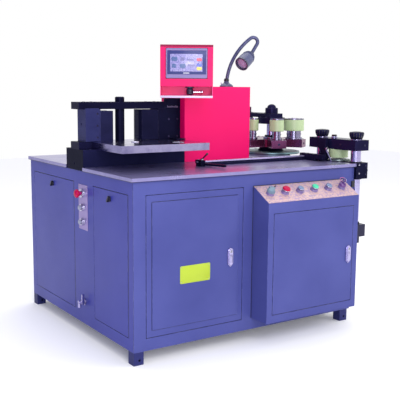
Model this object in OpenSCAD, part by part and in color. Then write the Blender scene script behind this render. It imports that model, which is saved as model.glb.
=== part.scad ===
// Busbar processing machine: a sheet-metal cabinet that carries a horizontal
// bending press, a turret punch press and a two-column pull-down press.
// Lengths are in millimetres. x runs along the front, from the left wall's face,
// y runs from the front wall's face to the back, and z runs up from the floor.
// place() moves the whole machine so that its origin is under its middle.

/* [Cabinet] */
// Width of the cabinet
cab_w = 1305; // [1250:5:1700]
// Depth of the cabinet
cab_d = 1185; // [1150:5:1500]
// Height of the cabinet walls
cab_h = 760; // [620:5:950]
// Thickness of the wall sheet
sheet = 3; // [2:0.5:4]
// Height of the legs
leg_h = 60; // [40:5:120]
// Side of the square leg and frame tube
tube = 40; // [30:1:44]
// Wall of the frame tube
tube_wall = 3; // [2:0.5:5]
// Side of the square leg tube
leg_side = 50; // [40:1:70]
// Radius of the transport hole in each leg
leg_hole_r = 6; // [3:0.5:10]
// Thickness of the table plate
table_t = 18; // [12:1:25]
// How far the table plate stands out over the walls
table_lip = 10; // [0:1:20]

/* [Doors] */
// Gap round each door
door_gap = 2.5; // [1.5:0.5:4]
// Thickness of the door sheet
leaf = 2; // [1.5:0.5:3]
// Depth of the folded door edge
fold = 18; // [14:1:25]
// Height of the sheet below the doors
sill = 56; // [40:1:90]
// Height of the sheet above the doors
head = 59; // [50:1:90]
// Width of the tool box door opening
tool_w = 528; // [440:1:560]
// Width of the rear service door opening
rear_w = 521; // [430:1:625]
// Width of the front service door opening
front_w = 341; // [280:1:420]
// Radius of a hinge pin
pin_r = 3; // [2:0.5:4]

/* [Electrical box] */
// Width of the electrical box
ebox_w = 578; // [480:1:600]
// Depth of the electrical box
ebox_d = 120; // [100:1:160]
// Drop of its sloped control panel from back to front
ebox_drop = 68; // [50:1:90]
// Width of its door opening
ebox_door_w = 514; // [400:1:530]
// Distance between the controls
control_pitch = 92; // [70:1:95]

/* [Tower and console] */
// Width of the press cylinder's cover
tower_w = 423; // [340:1:460]
// Depth of the cover
tower_d = 240; // [200:1:340]
// Height of the cover above the table
tower_h = 389; // [350:1:420]
// Width of the console
console_w = 260; // [230:1:320]
// Height of the console's screen box
console_h = 203; // [185:1:260]
// How far the console is turned to the operator's left
console_turn = 33.5; // [0:0.5:60]

/* [Bending press] */
// Width of the press bed, front to back
bed_w = 194; // [160:1:230]
// Height of the press bed above the table's underside
bed_h = 102; // [90:1:130]
// Thickness of the work plate
plate_t = 35; // [25:1:45]
// Length of the work plate
plate_w = 480; // [440:1:500]
// How far the work plate stands forward of the bed
plate_reach = 268; // [200:1:300]
// Height of the gap that the busbar is bent in
bend_h = 157; // [130:1:200]
// Radius of the mandrel pin
mandrel_r = 23.5; // [15:0.5:28]
// Travel of the bending ram
ram_travel = 68; // [30:1:68]

/* [Pull-down presses] */
// Distance of the press columns' plane from the right wall
column_out = 39; // [37:1:50]
// Radius of a press column
column_r = 27; // [20:0.5:28]
// Distance between a press's two columns
column_pitch = 262; // [230:1:315]
// Travel of the punch presses
press_travel = 22; // [10:1:25]

/* [Turret] */
// Number of tool stations
stations = 6; // [6:1:6]
// Radius that the tools stand on
station_r = 140; // [136:1:150]
// Outer radius of the petals
petal_r = 203; // [190:1:220]
// Width of a petal
petal_w = 88; // [70:1:100]
// Thickness of the turret plate
turret_t = 46; // [30:1:60]
// Bearing of the first station, from straight ahead towards the left
turret_rest = 25.5; // [0:0.5:60]

/* [Hidden] */

// Clearances: between a shaft and its bore, and between parts that move apart.
run = 0.05;
gap = 0.3;
cut = 1;

// Levels
wall_top = leg_h + cab_h;
table_z = wall_top + table_t;
pan_top = leg_h + sheet;
sill_z = leg_h + sill;
head_z = wall_top - head;
door_h = head_z - sill_z;

// Door openings, as [low, high] along their wall
tool_x = [62, 62 + tool_w];
front_y = [50, 50 + front_w];
rear_y = [cab_d - 50 - rear_w, cab_d - 50];
// hinge line: in from the leaf's edge, and behind the wall's face
hinge_in = 12;
hinge_deep = 7;
hinge_flap = 5;
field_in = 31;
field_out = 3;
bin_margin = 16;
bin_depth = 380;

// Side control strip between the service doors
strip_y = (front_y[1] + rear_y[0]) / 2;
strip_size = [100, 219];
strip_z = head_z - 7 - strip_size[1];
estop_z = strip_z + 179;
side_pitch = 70;
drain_z = sill_z + 58;

// Buttons: a collar through the sheet, and a cap on a stem
collar_r = 17;
collar_h = 13;
barrel_r = 11;
stem_r = 8;
button_travel = 4;
plate_sheet = 2;
estop_reach = 46;

// Electrical box
ebox_x = [cab_w - 80 - ebox_w, cab_w - 80];
ebox_sheet = 2;
ebox_top = head_z;
ebox_lip = ebox_top - ebox_drop;
ebox_door_x = [(ebox_x[0] + ebox_x[1] - ebox_door_w) / 2, (ebox_x[0] + ebox_x[1] + ebox_door_w) / 2];
ebox_door_z = [sill_z + 37, ebox_lip - 49];
ebox_fold = 15;
slope = atan2(ebox_drop, ebox_d);
slope_len = norm([ebox_drop, ebox_d]);
tool_lock = [tool_x[1] - 77, sill_z + 348];
ebox_lock = [ebox_door_x[1] - 32, sill_z + 310];
control_x0 = ebox_x[0] + (ebox_w - 5 * control_pitch) / 2 - 7;

// Bending press
bed_x = [5 - table_lip, 569];
bed_y = [cab_d / 2 - 104.5, cab_d / 2 - 104.5 + bed_w];
bed_z = [wall_top, wall_top + bed_h];
work_z = bed_z[1] + plate_t;
beam_z = work_z + bend_h;
beam_t = 35;
column_y = [bed_y[0] + 45, bed_y[0] + 131];
press_y = (column_y[0] + column_y[1]) / 2;
foot_x = [-5, 97];
column_x = [29, 112];
die_x = [column_x[1], 180];
plate_x = [63, 63 + plate_w];
plate_y = [bed_y[0] - plate_reach, column_y[0] - 3];
ram_x = [334, 437];
housing_x = [ram_x[1] + 1, bed_x[1] + 6];
step_x = 478;
housing_top = beam_z + 53;
plate_back = column_y[0] + 14;
mandrel_x = 239;
mandrel_top = beam_z + beam_t + 24;
rod_r = 25;
bore_r = 45;
cylinder_r = 65;
cylinder_len = 290;
ram_axis_z = (work_z + beam_z) / 2;

// Tower
tower_x = [bed_x[1], bed_x[1] + tower_w];
tower_y = [bed_y[0], bed_y[0] + tower_d];
tower_top = table_z + tower_h;
tower_sheet = 3;

// Console, in a frame of its own: its post is the centre and it faces -y
post = [tower_x[0] + 58, tower_y[0] + 68];
post_r = 20;
console_front = -240;
console_back = -130;
tray_z = tower_top - 56;
niche_z = [tray_z + 11, tower_top];
console_top = tower_top + console_h;
hmi_size = [202, 145];
hmi_z = console_top - 18 - hmi_size[1] / 2;
lock_at = [16, console_front + 35];

// Work lamp, in a frame of its own that faces the operator
lamp_at = [tower_x[0] + 312, tower_y[0] + 72];
neck_r = 9.5;
neck_sweep_r = 328;
neck_sweep = 52;
bend_r = 24;
bend_turn = 158;
neck_drop = 62;
ball_r = 13;
head_turn = 52.5;
head_tilt = 238.5;

// Pull-down presses
press_x = cab_w + column_out;
beam_half = 49;
front_press_y = [30, 30 + column_pitch];
front_mid = (front_press_y[0] + front_press_y[1]) / 2;
punch_y = [cab_d - 445, cab_d - 445 + column_pitch];
punch_mid = (punch_y[0] + punch_y[1]) / 2;
bolster_h = 84;
bolster_x = [cab_w + 3, press_x + 41];
bolster_top = table_z + 3;
bolster_z = [bolster_top - bolster_h, bolster_top];
press_beam_z = [table_z + 65, table_z + 120];
yoke_z = [table_z - 389, table_z - 325];
tie_bottom = yoke_z[0] - 37;
small_cylinder_r = 62;
small_cylinder_len = 157;
small_rod_r = 35;
window_r = small_cylinder_r + 6;
knob_r = 38;
knob_h = 38;
washer_h = 3;
die_top = bolster_top + 9;
die_r = 64;
stripper_r = 52.5;
stripper_z = [die_top + 7, press_beam_z[0]];
punch_r = 20;

// Turret
turret_z = [table_z + 39, table_z + 39 + turret_t];
sleeve_r = 38;
turret_hub_r = 82;
tool_top = turret_z[1] + 122;
stripper_top = tool_top - 6;
stripper_bottom = turret_z[1] + 50;
stripper_round = 4;
punch_beam_z = [tool_top + 3, tool_top + 27];
hub_disc_r = 80;
// Each tool: station number, neck radius, stripper radius
TOOLS = [[0, 23, 42], [1, 15, 27], [2, 14, 26], [5, 42, 59]];
// the two stations behind hold no tool
OPEN = [3, 4];
open_r = 25;
seat_root = 100;

// Fence
fence_x = [520, cab_w - 15];
fence_y = [285, 305];
rail_h = 10;
fence_h = 24;
stop_x = [520, 545];
hook = 6;
// bar that gauges the copper at the press, and the post beside the press beam
gauge_x = [cab_w - 90, cab_w - 62];
gauge_y = [150, fence_y[1] + 22];
gauge_z = [table_z + 11, table_z + 36];
post_x = [press_x - beam_half - 23, press_x - beam_half - 5];
stop_travel = 0.9 * (gauge_x[0] - stop_x[1]);

// Oil tank
tank_x = [cab_w - 560, cab_w - 60];
tank_y = [450, cab_d - 85];
motor_len = 260;
tank_z = [pan_top + 15, wall_top - tube - 117 - motor_len];

// The whole machine's middle, from its outermost pieces
mid_x = (press_x + petal_r - estop_reach) / 2;
mid_y = (cab_d + table_lip - ebox_d - 11 - gap) / 2;

// ---------------------------------------------------------------- helpers

// Moves the machine's own frame so that the origin is under its middle.
module place() {
    translate([-mid_x, -mid_y, 0]) children();
}

// A block given by its [low, high] span on each axis.
module block(x, y, z) {
    translate([x[0], y[0], z[0]]) cube([x[1] - x[0], y[1] - y[0], z[1] - z[0]]);
}

// Round bars along each axis, from lo to hi on that axis.
module bar_z(x, y, z, r, fn = 64) {
    translate([x, y, z[0]]) cylinder(r = r, h = z[1] - z[0], $fn = fn);
}
module bar_x(x, y, z, r, fn = 64) {
    translate([x[0], y, z]) rotate([0, 90, 0]) cylinder(r = r, h = x[1] - x[0], $fn = fn);
}
module bar_y(x, y, z, r, fn = 64) {
    translate([x, y[1], z]) rotate([90, 0, 0]) cylinder(r = r, h = y[1] - y[0], $fn = fn);
}

// Square tube along x, y or z, given by its outer block.
module tube_x(x, y, z, t = tube_wall) {
    difference() {
        block(x, y, z);
        block([x[0] - cut, x[1] + cut], [y[0] + t, y[1] - t], [z[0] + t, z[1] - t]);
    }
}
module tube_y(x, y, z, t = tube_wall) {
    difference() {
        block(x, y, z);
        block([x[0] + t, x[1] - t], [y[0] - cut, y[1] + cut], [z[0] + t, z[1] - t]);
    }
}
module tube_z(x, y, z, t = tube_wall) {
    difference() {
        block(x, y, z);
        block([x[0] + t, x[1] - t], [y[0] + t, y[1] - t], [z[0] - cut, z[1] + cut]);
    }
}

// A flat outline with round corners, centred.
module rounded(w, h, r) {
    square([w - 2 * r, h], center = true);
    square([w, h - 2 * r], center = true);
    for (x = [-1, 1], y = [-1, 1]) translate([x * (w / 2 - r), y * (h / 2 - r)]) circle(r = r, $fn = 32);
}

// A profile drawn in y and z, pushed along x.
module profile_x(x) {
    translate([x[0], 0, 0]) rotate([90, 0, 90]) linear_extrude(x[1] - x[0]) children();
}

// Puts a piece drawn in a front door's frame (front face at y = 0) on the left wall,
// so that its x runs from the rear edge to the front.
module on_left_wall(rear) {
    translate([0, rear, 0]) rotate([0, 0, -90]) children();
}

// Puts a piece drawn with z along its own axis on the electrical box's sloped panel.
module on_slope(x, down = 0.5) {
    translate([x, -ebox_d * down, ebox_top - ebox_drop * down]) rotate([slope, 0, 0]) children();
}

// Puts a piece drawn with z along its own axis on the left wall, pointing out of it.
module out_of_left_wall(y, z) {
    translate([0, y, z]) rotate([0, -90, 0]) children();
}

// Turns a piece from the operator's frame into the machine's, about a point.
module to_operator(at) {
    translate([at[0], at[1], 0]) rotate([0, 0, -console_turn]) children();
}

// ---------------------------------------------------------------- doors

// Folded jamb behind a door opening: x and z are the opening's spans.
module jamb(x, z, y, t) {
    difference() {
        block([x[0] - t, x[1] + t], y, [z[0] - t, z[1] + t]);
        block(x, [y[0] - cut, y[1] + cut], z);
    }
}

// A folded door with a raised field. It fills its opening less the gap all round.
module door_leaf(x, z, depth, raised) {
    outer_x = [x[0] + door_gap, x[1] - door_gap];
    outer_z = [z[0] + door_gap, z[1] - door_gap];
    field_x = [x[0] + field_in, x[1] - field_in];
    field_z = [z[0] + field_in + 3, z[1] - field_in - 3];
    difference() {
        union() {
            block(outer_x, [0, depth], outer_z);
            if (raised) block(field_x, [-field_out, leaf], field_z);
        }
        block([outer_x[0] + leaf, outer_x[1] - leaf], [leaf, depth + cut], [outer_z[0] + leaf, outer_z[1] - leaf]);
        if (raised) {
            block([field_x[0] + leaf, field_x[1] - leaf], [leaf - field_out, leaf + cut],
                  [field_z[0] + leaf, field_z[1] - leaf]);
        }
    }
}

// Hinge pins on a door's two ends, through the jamb's wall.
module upright_pins(x, z, wall) {
    for (span = [[z[1] - door_gap, z[1] + wall], [z[0] - wall, z[0] + door_gap]]) {
        bar_z(x, hinge_deep, span, pin_r);
    }
}

// Lock handle: a flat tongue with a round top and a pointed end, its shaft and its cam.
// The shaft is at the origin, the door's face is at y = 0, and the cam ends up behind the fold.
module lock_handle(face, depth, reach) {
    w = 15;
    drop = 60;
    tip = 75;
    translate([0, -face - gap, 0]) rotate([90, 0, 0]) {
        linear_extrude(5) {
            circle(r = w, $fn = 48);
            polygon([[-w, 0], [w, 0], [w, -drop], [0, -tip], [-w, -drop]]);
        }
        linear_extrude(11) {
            circle(r = w - 4, $fn = 48);
            polygon([[4 - w, 0], [w - 4, 0], [w - 4, 2 - drop], [0, 5 - tip], [4 - w, 2 - drop]]);
        }
    }
    bar_y(0, [-face - 2 * gap, depth + 8], 0, stem_r);
    block([-9, 9], [depth + 4, depth + 8], [-9, reach]);
}

// Quarter-turn latch with a wing. Its cam lies along +x at rest.
module cam_latch(depth, reach) {
    bar_y(0, [-5, -gap], 0, 13, 48);
    rotate([0, 35, 0]) block([-4, 4], [-14, -4], [-15, 15]);
    bar_y(0, [-cut, depth + 8], 0, stem_r);
    block([-9, reach], [depth + 4, depth + 8], [-9, 9]);
}

// ---------------------------------------------------------------- frame and walls

module leg(x, y) {
    difference() {
        tube_z([x, x + leg_side], [y, y + leg_side], [0, leg_h], 4);
        bar_y(x + 29, [y - cut, y + leg_side + cut], 22, leg_hole_r);
    }
}

module base_frame() {
    lo = sheet;
    hi_x = cab_w - sheet;
    hi_y = cab_d - sheet;
    rail_z = [wall_top - tube, wall_top];
    color("midnightblue") place() {
        for (x = [0, cab_w - 15 - leg_side], y = [0, cab_d - leg_side]) leg(x, y);
        difference() {
            block([lo, hi_x], [lo, hi_y], [leg_h, pan_top + 25]);
            block([lo + sheet, hi_x - sheet], [lo + sheet, hi_y - sheet], [pan_top, pan_top + 26]);
        }
        for (x = [[lo, lo + tube], [hi_x - tube, hi_x]], y = [[lo, lo + tube], [hi_y - tube, hi_y]]) {
            tube_z(x, y, [pan_top, wall_top]);
        }
        for (y = [[lo, lo + tube], [bed_y[0], bed_y[0] + tube], [bed_y[1] - tube, bed_y[1]], [hi_y - tube, hi_y]]) {
            tube_x([lo + tube, hi_x - tube], y, rail_z);
        }
        for (x = [[lo, lo + tube], [hi_x - tube, hi_x]]) tube_y(x, [lo + tube, hi_y - tube], rail_z);
    }
}

module front_panel() {
    color("slateblue") place() difference() {
        union() {
            block([0, cab_w], [0, sheet], [leg_h, wall_top]);
            jamb(tool_x, [sill_z, head_z], [0, fold], sheet);
        }
        block(tool_x, [-cut, fold + cut], [sill_z, head_z]);
        bar_z(tool_x[0] + door_gap + hinge_in, hinge_deep, [sill_z - sheet - cut, head_z + sheet + cut], pin_r + run);
        // cable pass into the electrical box
        bar_y(ebox_x[0] + 60, [-cut, sheet + cut], ebox_lip - 60, 30);
    }
}

module left_panel() {
    color("slateblue") place() difference() {
        union() {
            block([0, sheet], [sheet, cab_d - sheet], [leg_h, wall_top]);
            for (y = [front_y, rear_y]) {
                on_left_wall(y[1]) jamb([0, y[1] - y[0]], [sill_z, head_z], [0, fold], sheet);
            }
        }
        for (y = [front_y, rear_y]) {
            block([-cut, fold + cut], y, [sill_z, head_z]);
            bar_y(hinge_flap, [y[0] - sheet - cut, y[1] + sheet + cut], sill_z + door_gap + 8, pin_r + run);
        }
        for (i = [0:2]) bar_x([-cut, sheet + cut], strip_y, estop_z - i * side_pitch, barrel_r + run);
        bar_x([-cut, sheet + cut], strip_y, drain_z, 14);
    }
}

module rear_walls() {
    slot_w = 150;
    slot_h = 10;
    color("slateblue") place() difference() {
        union() {
            block([cab_w - sheet, cab_w], [sheet, cab_d - sheet - gap], [leg_h, wall_top]);
            block([0, cab_w], [cab_d - sheet, cab_d], [leg_h, wall_top]);
        }
        // ventilation slots
        for (x = [cab_w / 2 - 250, cab_w / 2 + 100], row = [0:7]) {
            block([x, x + slot_w], [cab_d - sheet - cut, cab_d + cut],
                  [wall_top - 160 - 26 * row, wall_top - 160 - 26 * row + slot_h]);
        }
        // mains cable gland hole
        bar_y(cab_w - 150, [cab_d - sheet - cut, cab_d + cut], leg_h + 90, 16);
        // windows that the press cylinders stand in
        for (y = [front_mid, punch_mid]) {
            block([cab_w - sheet - cut, cab_w + cut], [y - window_r, y + window_r],
                  [bolster_z[0] - small_cylinder_len - 10, bolster_z[0]]);
        }
    }
}

module tool_bin() {
    x = [tool_x[0] - bin_margin, tool_x[1] + bin_margin];
    z = [sill_z - bin_margin, head_z + bin_margin];
    y = [sheet, sheet + bin_depth];
    mid = (z[0] + z[1]) / 2;
    color("slategray") place() {
        difference() {
            block(x, y, z);
            block([x[0] + leaf, x[1] - leaf], [y[0] - cut, y[1] - leaf], [z[0] + leaf, z[1] - leaf]);
        }
        // shelf with a turned-up front edge
        block([x[0] + leaf, x[1] - leaf], [fold + 30, y[1] - leaf], [mid, mid + leaf]);
        block([x[0] + leaf, x[1] - leaf], [fold + 30, fold + 30 + leaf], [mid, mid + 20]);
    }
}

module table_top() {
    color("lightsteelblue") place() difference() {
        block([-table_lip, cab_w + table_lip], [-table_lip, cab_d + table_lip], [wall_top, table_z]);
        block([-table_lip - cut, bed_x[1] + gap], [bed_y[0] - gap, bed_y[1] + gap], [wall_top - cut, table_z + cut]);
    }
}

// ---------------------------------------------------------------- bending press

module bender_bed() {
    color("midnightblue") place() difference() {
        block(bed_x, bed_y, bed_z);
        bar_x([bed_x[0] - cut, bed_x[0] + 20], (bed_y[0] + bed_y[1]) / 2, bed_z[0] + 30, 5);
    }
}

module die_column() {
    cover_x = [column_x[0], 100];
    color("midnightblue") place() difference() {
        union() {
            block(foot_x, [column_y[0], column_y[1] + 8], [bed_z[1], work_z]);
            block(column_x, column_y, [work_z, beam_z]);
            block(cover_x, [column_y[0] - 8, column_y[0]], [work_z + 2, beam_z + 5]);
        }
        for (i = [0:2]) {
            bar_y(cover_x[1] - 8, [column_y[0] - 8 - cut, column_y[0] - 3], work_z + 20 + (bend_h - 42) / 2 * i, 5);
        }
        bar_x([column_x[0] - cut, column_x[0] + 15], press_y, work_z + 85, 6);
    }
}

module v_die() {
    depth = 24;
    half = 26;
    color("darkslateblue") place() translate([0, 0, work_z]) linear_extrude(bend_h - 8) polygon([
        [die_x[0], column_y[0]], [die_x[1], column_y[0]],
        [die_x[1], press_y - half], [die_x[1] - depth, press_y], [die_x[1], press_y + half],
        [die_x[1], column_y[1]], [die_x[0], column_y[1]]
    ]);
}

module top_beam() {
    color("midnightblue") place() difference() {
        block([-3, step_x - gap], [column_y[0], column_y[1] + 2], [beam_z, beam_z + beam_t]);
        bar_z(mandrel_x, press_y, [beam_z - cut, beam_z + beam_t + cut], mandrel_r + run);
    }
}

module end_housing() {
    color("midnightblue") place() difference() {
        union() {
            block(housing_x, column_y, [bed_z[1], beam_z]);
            block([step_x, housing_x[1]], column_y, [bed_z[1], beam_z + beam_t]);
            // front plate that stands up beside the beam, and its tab on the work plate
            block([step_x, housing_x[1]], [column_y[0], plate_back], [beam_z, housing_top]);
            block([step_x + 28, step_x + 80], [column_y[0] - 69, column_y[0] + cut], [work_z, work_z + 6]);
        }
        bar_x([housing_x[0] - cut, housing_x[1] + cut], press_y, ram_axis_z, rod_r + run);
    }
}

module bender_cylinder() {
    x = [housing_x[1], housing_x[1] + cylinder_len];
    color("dimgray") place() difference() {
        union() {
            bar_x(x, press_y, ram_axis_z, cylinder_r);
            bar_x([x[0], x[0] + 25], press_y, ram_axis_z, cylinder_r + 15);
            bar_x([x[1] - 20, x[1] + 30], press_y, ram_axis_z, cylinder_r + 8);
            block([x[1] - 20, x[1] + 20], [press_y - 50, press_y + 50], [table_z, ram_axis_z]);
        }
        bar_x([x[0] - cut, x[0] + 30], press_y, ram_axis_z, rod_r + run);
        bar_x([x[0] + 25, x[1]], press_y, ram_axis_z, bore_r + run);
    }
}

module bender_ram() {
    nose = 8;
    piston_x = [housing_x[1] + 225, housing_x[1] + 265];
    color("darkslateblue") place() {
        translate([0, 0, work_z + cut]) linear_extrude(bend_h - 5) polygon([
            [ram_x[0], press_y - 22], [ram_x[0] + nose, column_y[0] + gap], [ram_x[1], column_y[0] + gap],
            [ram_x[1], column_y[1] - gap], [ram_x[0] + nose, column_y[1] - gap], [ram_x[0], press_y + 22]
        ]);
        bar_x([ram_x[1] - 5, piston_x[1]], press_y, ram_axis_z, rod_r);
        bar_x(piston_x, press_y, ram_axis_z, bore_r);
    }
}

module work_plate() {
    notch_x = column_x[1] + gap;
    color("silver") place() difference() {
        union() {
            block(plate_x, plate_y, [bed_z[1], work_z]);
            block([notch_x, ram_x[1]], [plate_y[1] - cut, column_y[1] + 3], [bed_z[1], work_z]);
        }
        bar_z(mandrel_x, press_y, [bed_z[1] - cut, work_z + cut], mandrel_r + run);
        // tool bore in the open part of the plate
        bar_z(427, bed_y[0] - 168, [bed_z[1] - cut, work_z + cut], mandrel_r + run);
    }
}

module mandrel_pin() {
    color("dimgray") place() union() {
        bar_z(mandrel_x, press_y, [bed_z[1] + gap, mandrel_top - 3], mandrel_r);
        translate([mandrel_x, press_y, mandrel_top - 3]) cylinder(r1 = mandrel_r, r2 = mandrel_r - 3, h = 3, $fn = 64);
    }
}

// ---------------------------------------------------------------- tower, console and lamp

module tower_cover() {
    w = tower_x[1] - tower_x[0];
    d = tower_y[1] - tower_y[0];
    color("deeppink") place() difference() {
        translate([tower_x[0] + w / 2, tower_y[0] + d / 2, table_z]) linear_extrude(tower_h) rounded(w, d, 6);
        block([tower_x[0] + tower_sheet, tower_x[1] - tower_sheet],
              [tower_y[0] + tower_sheet, tower_y[1] - tower_sheet], [table_z - cut, tower_top - tower_sheet]);
        // the housing passes the left wall
        block([tower_x[0] - cut, tower_x[0] + tower_sheet + cut],
              [column_y[0] - gap, column_y[1] + gap], [bed_z[1] - gap, beam_z + beam_t + gap]);
        block([tower_x[0] - cut, tower_x[0] + tower_sheet + cut],
              [column_y[0] - gap, plate_back + gap], [beam_z, housing_top + gap]);
    }
}

module console_bracket() {
    color("dimgray") place() {
        bar_z(post[0], post[1], [tower_top, tower_top + 10], 50);
        bar_z(post[0], post[1], [tower_top, tower_top + 95], post_r);
        bar_z(post[0], post[1], [tower_top, tower_top + 25], post_r + 8);
    }
}

module console_housing() {
    t = 3;
    half = console_w / 2;
    collar_z = [tower_top + 25 + gap, tower_top + 80];
    color("deeppink") place() to_operator(post) difference() {
        union() {
            difference() {
                profile_x([-half, half]) polygon([
                    [console_front, tray_z], [console_front, console_top - 12], [console_front + 10, console_top],
                    [console_back, console_top], [console_back, niche_z[1]], [console_back - 20, niche_z[1]],
                    [console_back - 20, tray_z]
                ]);
                // inside of the screen box
                block([t - half, half - t], [console_front + t, console_back - t], [niche_z[1] + t, console_top - 14]);
                // open niche below it
                block([t - half, half - t], [console_front - cut, console_back - 20 - t], niche_z);
            }
            // arm and collar that turn on the post
            block([-30, 30], [console_back, -post_r - 4], [collar_z[0] + 8, collar_z[1] - 8]);
            bar_z(0, 0, collar_z, post_r + 14);
        }
        bar_z(0, 0, [collar_z[0] - cut, collar_z[1] + cut], post_r + run);
        // opening for the screen unit
        block([6 - hmi_size[0] / 2, hmi_size[0] / 2 - 6], [console_front - cut, console_front + t + cut],
              [hmi_z - hmi_size[1] / 2 + 6, hmi_z + hmi_size[1] / 2 - 6]);
        // bore of the clamp screw
        bar_z(lock_at[0], lock_at[1], [niche_z[1] - cut, niche_z[1] + t + cut], 6 + run);
    }
}

module hmi_panel() {
    lip = 5;
    color("thistle") place() to_operator(post) difference() {
        union() {
            translate([0, console_front, hmi_z]) rotate([90, 0, 0]) linear_extrude(lip) rounded(hmi_size[0], hmi_size[1], 6);
            block([7 - hmi_size[0] / 2, hmi_size[0] / 2 - 7], [console_front, console_front + 40],
                  [hmi_z - hmi_size[1] / 2 + 7, hmi_z + hmi_size[1] / 2 - 7]);
        }
        // sunk screen
        block([6 - hmi_size[0] / 2, hmi_size[0] / 2 - 6], [console_front - lip - cut, console_front - lip + 2],
              [hmi_z - hmi_size[1] / 2 + 19, hmi_z + hmi_size[1] / 2 - 11]);
    }
}

module swivel_lock() {
    hub_z = [niche_z[0] + 4, niche_z[1] - gap];
    lever_z = hub_z[0] + 13;
    color("black") place() to_operator(post) translate([lock_at[0], lock_at[1], 0]) {
        // washer plate, hub and screw
        bar_z(0, 0, [hub_z[1] - 6, hub_z[1]], 23, 48);
        translate([0, 0, hub_z[0]]) rotate_extrude($fn = 48) polygon([
            [0, 0], [13, 0], [17, 5], [17, 24], [12, hub_z[1] - hub_z[0] - 5], [0, hub_z[1] - hub_z[0] - 5]
        ]);
        bar_z(0, 0, [hub_z[1] - cut, niche_z[1] + 12], 6);
        // lever with a ball end
        translate([0, 0, lever_z]) rotate([0, 90, 0]) cylinder(r = 6, h = 56, $fn = 32);
        translate([60, 0, lever_z]) sphere(r = 9, $fn = 32);
    }
}

module lamp_stand() {
    end_r = neck_sweep_r * (1 - cos(neck_sweep));
    end_z = neck_sweep_r * sin(neck_sweep);
    bend_x = end_r + bend_r * cos(neck_sweep);
    bend_z = end_z - bend_r * sin(neck_sweep);
    down = 180 - neck_sweep - bend_turn;
    color("slategray") place() translate([0, 0, tower_top]) to_operator(lamp_at) {
        // foot
        rotate_extrude($fn = 64) polygon([[0, 0], [37, 0], [37, 5], [30, 12], [16, 20], [12, 30], [0, 30]]);
        // neck: a long sweep, a tight bend and the drop to the head
        translate([neck_sweep_r, 0, 0]) rotate([90, 0, 0]) rotate([0, 0, 180 - neck_sweep])
            rotate_extrude(angle = neck_sweep, $fn = 96) translate([neck_sweep_r, 0]) circle(r = neck_r, $fn = 24);
        translate([bend_x, 0, bend_z]) rotate([90, 0, 0]) rotate([0, 0, 180 - neck_sweep - bend_turn])
            rotate_extrude(angle = bend_turn, $fn = 48) translate([bend_r, 0]) circle(r = neck_r, $fn = 24);
        translate([bend_x + bend_r * cos(down), 0, bend_z + bend_r * sin(down)])
            rotate([0, 180 - down, 0]) cylinder(r = neck_r, h = neck_drop, $fn = 24);
        // ball that the head is set on
        translate(neck_end()) sphere(r = ball_r, $fn = 48);
    }
}

// End of the lamp's neck, from the middle of its foot.
function neck_end() =
    let (down = 180 - neck_sweep - bend_turn,
         x = neck_sweep_r * (1 - cos(neck_sweep)) + bend_r * cos(neck_sweep) + bend_r * cos(down),
         z = neck_sweep_r * sin(neck_sweep) - bend_r * sin(neck_sweep) + bend_r * sin(down))
    [x + neck_drop * sin(180 - down), 0, z + neck_drop * cos(180 - down)];

module lamp_head() {
    p = neck_end();
    color("lightslategray") place() translate([0, 0, tower_top]) to_operator(lamp_at)
        translate(p) rotate([0, 0, head_turn]) rotate([0, head_tilt, 0]) difference() {
            rotate_extrude($fn = 64) polygon([
                [0, 3], [20, 3], [23, 8], [31, 24], [36, 42], [37.5, 60], [37.5, 104], [0, 104]
            ]);
            sphere(r = ball_r + run, $fn = 48);
            translate([0, 0, 92]) cylinder(r = 31, h = 20, $fn = 64);
        }
}

// ---------------------------------------------------------------- fence

module fence_bar() {
    foot_y = [gauge_y[0] + 55, fence_y[0] + 5];
    color("midnightblue") place() {
        // rail, and the bar that the copper lies against
        block(fence_x, fence_y, [table_z, table_z + rail_h]);
        block([fence_x[0], gauge_x[0] + cut], [fence_y[0] + 3, fence_y[1]], [table_z + rail_h - cut, table_z + fence_h]);
        // gauge bar on its foot
        block(gauge_x, gauge_y, gauge_z);
        block(gauge_x, foot_y, [table_z, gauge_z[0] + cut]);
        // post beside the press beam, with a leaning leg, held by a strap to the gauge bar
        difference() {
            profile_x(post_x) polygon([
                [168, table_z], [203, table_z], [234, table_z + 62], [240, table_z + 62],
                [240, press_beam_z[1]], [185, press_beam_z[1]], [185, table_z + 62], [199, table_z + 62]
            ]);
            // the die's flange passes the leg's foot
            bar_z(press_x, front_mid, [table_z - cut, die_top + 1], die_r + 1);
        }
        block([gauge_x[1] - cut, post_x[0] + cut], [185, 203], [table_z, table_z + 14]);
    }
}

module fence_stop() {
    top = table_z + fence_h + gap + hook;
    color("dimgray") place() {
        // block in front of the fence, with a hook over it
        block(stop_x, [fence_y[0] - 26, fence_y[0] - gap], [table_z + gap, top]);
        block(stop_x, [fence_y[0] - 26, fence_y[1] + gap + hook], [top - hook, top]);
        block(stop_x, [fence_y[1] + gap, fence_y[1] + gap + hook], [table_z + rail_h + 2, top]);
        // flip arm that the bar's end meets
        translate([stop_x[1] - 7, fence_y[0] - 18, table_z + 5]) rotate([0, 0, 18])
            translate([-6, -138, 0]) cube([12, 138, 11]);
        // clamp lever
        bar_z(stop_x[1] - 10, fence_y[0] - 12, [top - cut, top + 7], 7, 32);
        translate([stop_x[1] - 10, fence_y[0] - 12, top + 4]) rotate([0, 50, 0]) cylinder(r = 3.5, h = 34, $fn = 24);
    }
}

// ---------------------------------------------------------------- pull-down presses

// A fixed bolster outside the right wall, relieved under the table's lip.
module bolster(y, columns) {
    difference() {
        union() {
            block([cab_w + table_lip + 1, bolster_x[1]], y, bolster_z);
            block([cab_w, bolster_x[1]], y, [bolster_z[0], wall_top - 1]);
        }
        for (c = columns) bar_z(press_x, c, [bolster_z[0] - cut, bolster_z[1] + cut], column_r + run);
    }
}

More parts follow.
